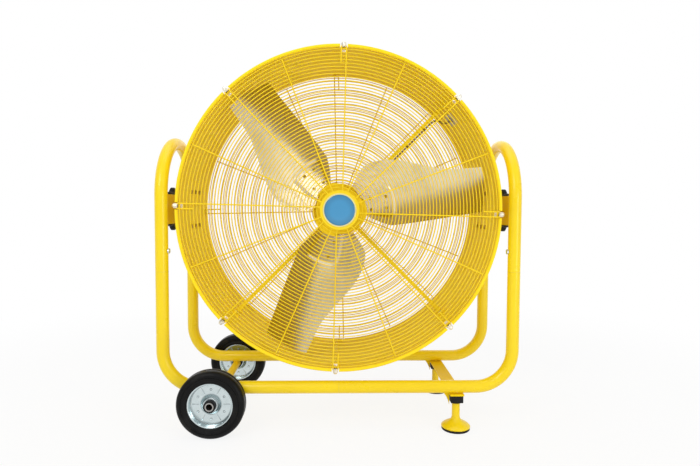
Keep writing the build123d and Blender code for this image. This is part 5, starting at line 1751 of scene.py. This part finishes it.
@dataclass
class Rotor:
    """Three pressed sheet blades on their hub."""

    kit: Kit
    blade_angle: float = 7.7
    blades: int = 3
    tip_r: float = 457.0
    thick: float = 2.0
    mid_y: float = -95.0
    pitch_axis: float = 5.0
    pitches: tuple[float, float] = (25.0, 23.0)
    folds: tuple[float, float] = (0.6, 17.0)
    fold_power: float = 0.8
    fold_start: float = -36.0
    fold_rise: float = 0.161
    fold_width: float = 100.0
    fold_round: float = 0.22
    flat_end: float = 175.0
    root_left: tuple[float, float] = (47.0, 65.0)
    root_middle: tuple[float, float] = (70.0, 24.0)
    root_right: tuple[float, float] = (64.0, -18.0)
    left_edge: tuple[tuple[float, float], ...] = ((88.0, 120.0), (144.0, 133.0), (206.0, 124.0),
                                                  (295.0, 95.0), (354.0, 80.0))
    right_swell: tuple[float, float] = (140.0, -63.0)
    right_straight: tuple[float, float] = (200.0, -72.0)
    tip_sides: tuple[float, float] = (74.0, -66.0)
    press_depth: float = 2.6
    press_end: float = 172.0
    press_ramp: float = 7.0
    press_left: tuple[float, float] = (28.0, 18.0)
    press_narrows: tuple[float, float] = (80.0, 175.0)
    press_right: float = 14.8
    press_corner: float = 14.0
    columns: int = 72
    rows: int = 150
    row_power: float = 1.35
    crease: float = 40.0

    def build(self) -> None:
        """Builds the blades and dresses the hub."""
        kit = self.kit
        for index in range(self.blades):
            blade = self._blade(index)
            kit.add(blade, "rotor", Paints.BLADE, "blade_aluminium", f"blade_{index + 1}")
        kit.dress(Paints.DRUM, "fan_spider", "hub_plate")
        kit.dress(Paints.SHADE_PAINTED_BOLT, "rotor_fasteners")
        kit.dress(Paints.STEEL, "fan_shaft", "rotor_core")

    @staticmethod
    def _arc(first: Vector, middle: Vector, last: Vector, share: float) -> Vector:
        """A point on the quadratic through three points, near enough to their arc."""
        bend = middle * 2 - (first + last) / 2
        return first * (1 - share) ** 2 + bend * 2 * share * (1 - share) + last * share ** 2

    @staticmethod
    def _through(points: Sequence[Vector], share: float) -> Vector:
        """A point on a smooth curve through several points.

        Args:
            points: the points.
            share: how far along, from 0 to 1.

        Returns:
            The point.
        """
        spans = [(after - before).length for before, after in zip(points, points[1:])]
        goal, index = share * sum(spans), 0
        while index < len(spans) - 1 and goal > spans[index]:
            goal -= spans[index]
            index += 1
        step = goal / spans[index]
        before = points[index - 1] if index else points[0] * 2 - points[1]
        after = points[index + 2] if index + 2 < len(points) else points[-1] * 2 - points[-2]
        near, far = points[index], points[index + 1]
        square, cube = before * 2 - near * 5 + far * 4 - after, near * 3 - before - far * 3 + after
        return 0.5 * (near * 2 + (far - before) * step + square * step ** 2 + cube * step ** 3)

    def _flat(self, across: float, along: float) -> Vector:
        """A point of the blade's flat pattern: X along the blade, Y across it.

        Args:
            across: the share of the way from the left edge to the right one.
            along: the share of the way from the root to the tip.

        Returns:
            The point.
        """
        tips = [Vector((math.sqrt(self.tip_r ** 2 - side ** 2), side)) for side in self.tip_sides]
        root = [Vector(spot) for spot in (self.root_left, self.root_middle, self.root_right)]
        left = [root[0], *[Vector(spot) for spot in self.left_edge], tips[0]]
        right = [root[2], Vector(self.right_swell), Vector(self.right_straight), tips[1]]
        inner = self._arc(root[0], root[1], root[2], across)
        start, end = (math.asin(tip.y / self.tip_r) for tip in tips)
        turn = start * (1 - across) + end * across
        outer = Vector((self.tip_r * math.cos(turn), self.tip_r * math.sin(turn)))
        sides = self._through(left, along) * (1 - across) + self._through(right, along) * across
        ends = inner * (1 - along) + outer * along
        corners = ((root[0] * (1 - across) + root[2] * across) * (1 - along)
                   + (tips[0] * (1 - across) + tips[1] * across) * along)
        return sides + ends - corners

    def _lift(self, along: float, across: float) -> float:
        """How far the sheet is pressed back, outside the raised root panel.

        Args:
            along: the distance from the axis, along the blade.
            across: the distance to its side.

        Returns:
            The depth, in millimetres.
        """
        radius, turn = math.hypot(along, across), math.degrees(math.atan2(across, along))
        (wide, narrow), (start, end), corner = self.press_left, self.press_narrows, self.press_corner
        left_turn = wide - (wide - narrow) * clamped((radius - start) / (end - start))
        edges = [self.press_end - radius, math.radians(left_turn - turn) * radius,
                 math.radians(turn + self.press_right) * radius]
        near, second = sorted(edges)[:2]
        if second < corner:
            near = corner - math.hypot(corner - near, corner - second)
        share = clamped(near / self.press_ramp + 0.5)
        return self.press_depth * (1.0 - share * share * (3 - 2 * share))

    def _front(self, along: float, across: float) -> float:
        """The Y of the sheet's front, in millimetres.

        Args:
            along: the distance from the axis, along the blade.
            across: the distance to its side.

        Returns:
            The Y.
        """
        reach = clamped((along - self.flat_end) / (self.tip_r - self.flat_end))
        pitch = self.pitches[0] + (self.pitches[1] - self.pitches[0]) * reach
        fold = self.folds[0] + (self.folds[1] - self.folds[0]) * reach ** self.fold_power
        away = (across - self.fold_start - self.fold_rise * along) / self.fold_width
        roof = fold * (1 - math.hypot(away, self.fold_round) + self.fold_round)
        slope = math.tan(math.radians(pitch))
        return self.mid_y - slope * (across - self.pitch_axis) - roof + self._lift(along, across)

    def _layer(self, index: int, depth: float) -> tuple[list[Vector], list[Vector]]:
        """One face of a blade, row by row from its root.

        Args:
            index: which blade, from 0.
            depth: how far behind the front it lies.

        Returns:
            Its points, and the same points in the flat pattern.
        """
        turn = math.radians(self.blade_angle + index * 360 / self.blades)
        spots, flats = [], []
        for row in range(self.rows + 1):
            for column in range(self.columns + 1):
                spot = self._flat(column / self.columns, (row / self.rows) ** self.row_power)
                y = self._front(spot.x, spot.y) + depth
                spots.append(Vector((spot.x * math.cos(turn) - spot.y * math.sin(turn), y,
                                     AXIS_Z + spot.x * math.sin(turn) + spot.y * math.cos(turn))))
                flats.append(spot)
        return spots, flats

    def _faces(self) -> list[tuple[int, int, int, int]]:
        """The faces of a closed sheet, as the numbers of its points: both sides, then the rim.

        Returns:
            Four numbers for each face.
        """
        wide = self.columns + 1
        rear = wide * (self.rows + 1)
        faces = []
        for start in [row * wide + column for row in range(self.rows) for column in range(self.columns)]:
            for side in (start, start + rear):
                faces.append((side, side + 1, side + wide + 1, side + wide))
        rim = list(range(self.columns))
        rim += [row * wide + self.columns for row in range(self.rows)]
        rim += [self.rows * wide + column for column in range(self.columns, 0, -1)]
        rim += [row * wide for row in range(self.rows, 0, -1)]
        ahead = rim[1:] + rim[:1]
        return faces + [(here, there, there + rear, here + rear) for here, there in zip(rim, ahead)]

    def _blade(self, index: int) -> bpy.types.Object:
        """One closed sheet with its UV map in metres.

        Args:
            index: which blade, from 0.

        Returns:
            The object.
        """
        work = bmesh.new()
        sheet = work.loops.layers.uv.new("sheet")
        vertices, flats = [], []
        for depth in (0.0, self.thick):
            spots, pattern = self._layer(index, depth)
            vertices += [work.verts.new(spot * MM) for spot in spots]
            flats += [spot * MM for spot in pattern]
        for numbers in self._faces():
            face = work.faces.new([vertices[number] for number in numbers])
            for loop, number in zip(face.loops, numbers):
                loop[sheet].uv = (flats[number].y, flats[number].x)
        mesh = mesh_of(work, "blade")
        tidy_mesh(mesh, self.crease)
        return link_mesh(f"blade_sheet_{index + 1}", mesh)


# ---------------------------------------------------------------- studio
@dataclass(frozen=True)
class Lamp:
    """A square soft lamp: its place, the point it faces, its side and its power in watts."""

    name: str
    spot: Point
    aim: Point
    side: float
    power: float

    def build(self) -> None:
        """Hangs the lamp and aims it."""
        light = bpy.data.lights.new(self.name, "AREA")
        light.size, light.energy = self.side, self.power
        thing = put(self.name, light)
        thing.location = self.spot
        thing.rotation_euler = (Vector(self.aim) - Vector(self.spot)).to_track_quat("-Z", "Y").to_euler()


@dataclass
class Studio:
    """The pale floor, the soft lamps and the camera. The camera's eye alone is in millimetres."""

    eye: Point = (-9.2, -1793.3, 684.3)
    yaw: float = -0.0251
    pitch: float = -0.0513
    roll: float = -0.0048
    focal_px: float = 540.89
    frame_px: tuple[int, int] = (700, 466)
    sensor: float = 36.0
    floor_half: float = 14.0
    floor_drop: float = 0.0005
    floor_tones: tuple[Colour, Colour] = ((0.90, 0.90, 0.90), (0.94, 0.94, 0.93))
    floor_clears: tuple[float, float] = (0.9, 2.4)
    floor_shown: float = 0.86
    room_light: float = 0.63
    mirror_front: float = 0.08
    mirror_behind: float = 0.29
    mirror_left: float = 0.46
    lamps: tuple[Lamp, ...] = (
        Lamp("key", (-1.3, -2.6, 2.3), (0.0, 0.0, 0.6), 1.4, 29.0),
        Lamp("fill", (1.9, -2.4, 0.6), (0.0, 0.0, 0.6), 1.0, 15.0),
        Lamp("glint", (1.43, -1.76, 2.02), (-0.07, -0.1, 0.76), 0.44, 1.8),
        Lamp("top", (0.0, 0.0, 3.0), (0.0, 0.0, 0.5), 2.0, 12.0),
        Lamp("back", (0.6, 2.8, 1.9), (0.0, 0.0, 0.7), 2.2, 8.0))

    def build(self) -> None:
        """Builds floor, world, lamps and camera."""
        self._floor()
        self._world()
        for lamp in self.lamps:
            lamp.build()
        self._camera()
        bpy.context.scene.view_settings.view_transform = "Standard"

    def _floor(self) -> None:
        """A wide pale floor that keeps a faint shadow."""
        reach = self.floor_half
        corners = [(-reach, -reach), (reach, -reach), (reach, reach), (-reach, reach)]
        mesh = bpy.data.meshes.new("floor")
        mesh.from_pydata([(x, y, -self.floor_drop) for x, y in corners], [], [(0, 1, 2, 3)])
        floor = link_mesh("floor", mesh)
        material = bpy.data.materials.new("floor paper")
        graph = NodeGraph.fresh(material)
        spot = graph.node("ShaderNodeTexCoord", output="Object")
        tone = graph.blend(graph.noise(spot, 3.0), *self.floor_tones)
        paper = graph.node("ShaderNodeBsdfDiffuse", None, {"Color": tone})
        white = graph.node("ShaderNodeEmission", None, {"Color": (1.0, 1.0, 1.0, 1.0), "Strength": 1.0})
        seen, mirror = self._rays(graph)
        clear = graph.length(spot).between(*self.floor_clears) * (1.0 - self.floor_shown)
        shown = (seen + mirror) * (self.floor_shown + clear)
        mixed = graph.node("ShaderNodeMixShader", None, {0: shown, 1: paper, 2: white})
        graph.close("ShaderNodeOutputMaterial", mixed)
        mesh.materials.append(material)

    @staticmethod
    def _rays(graph: NodeGraph) -> tuple[Value, Value]:
        """Which rays show the background, straight or through glass, and which are reflections."""
        names = ("Is Camera Ray", "Is Transmission Ray", "Is Glossy Ray")
        camera, glass, mirror = [graph.node("ShaderNodeLightPath", output=name) for name in names]
        return camera + glass, mirror

    def _world(self) -> None:
        """A white room for the eye, a softer one for the light, and a dimmer left in reflections."""
        world = bpy.data.worlds.new("white room")
        bpy.context.scene.world = world
        graph = NodeGraph.fresh(world)
        way = graph.node("ShaderNodeTexCoord", output="Generated")
        behind = graph.part(way, 1).between(-0.3, 0.25)
        left = (0.0 - graph.part(way, 0)).between(0.25, 0.9)
        seen, mirror = self._rays(graph)
        dimmer = left * (1.0 - behind) * self.mirror_left
        reflected = behind * self.mirror_behind + self.mirror_front - dimmer
        strength = self.room_light + seen * (1.0 - self.room_light) + mirror * reflected
        white = {"Color": (1.0, 1.0, 1.0, 1.0), "Strength": strength}
        graph.close("ShaderNodeOutputWorld", graph.node("ShaderNodeBackground", None, white))

    def _camera(self) -> None:
        """The camera at the photograph's place."""
        data = bpy.data.cameras.new("camera")
        data.sensor_width = self.sensor
        data.lens = self.focal_px / self.frame_px[0] * self.sensor
        data.clip_end = 60.0
        thing = put("camera", data)
        turn = (Matrix.Rotation(self.yaw, 3, "Z") @ Matrix.Rotation(self.pitch, 3, "X")
                @ Matrix.Rotation(self.roll, 3, "Y"))
        right, ahead, up = turn.col[0], turn.col[1], turn.col[2]
        basis = Matrix((right, up, -ahead)).transposed().to_4x4()
        thing.matrix_world = Matrix.Translation(Vector(self.eye) * MM) @ basis
        bpy.context.scene.camera = thing


def main() -> None:
    """Builds the fan's looks and its studio."""
    logging.basicConfig(level=logging.INFO, format="%(name)s %(message)s")
    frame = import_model()
    kit = Kit(frame["nodes"], Trees())
    assemblies = [TubeFrame(kit), Drum(kit), Motor(kit), Rotor(kit)]
    for mouth in Mouth:
        assemblies += [Wheel(kit, mouth), LevellingFoot(kit, mouth), Guard(kit, mouth)]
    for assembly in assemblies:
        assembly.build()
    Studio().build()


if __name__ == "__main__":
    main()
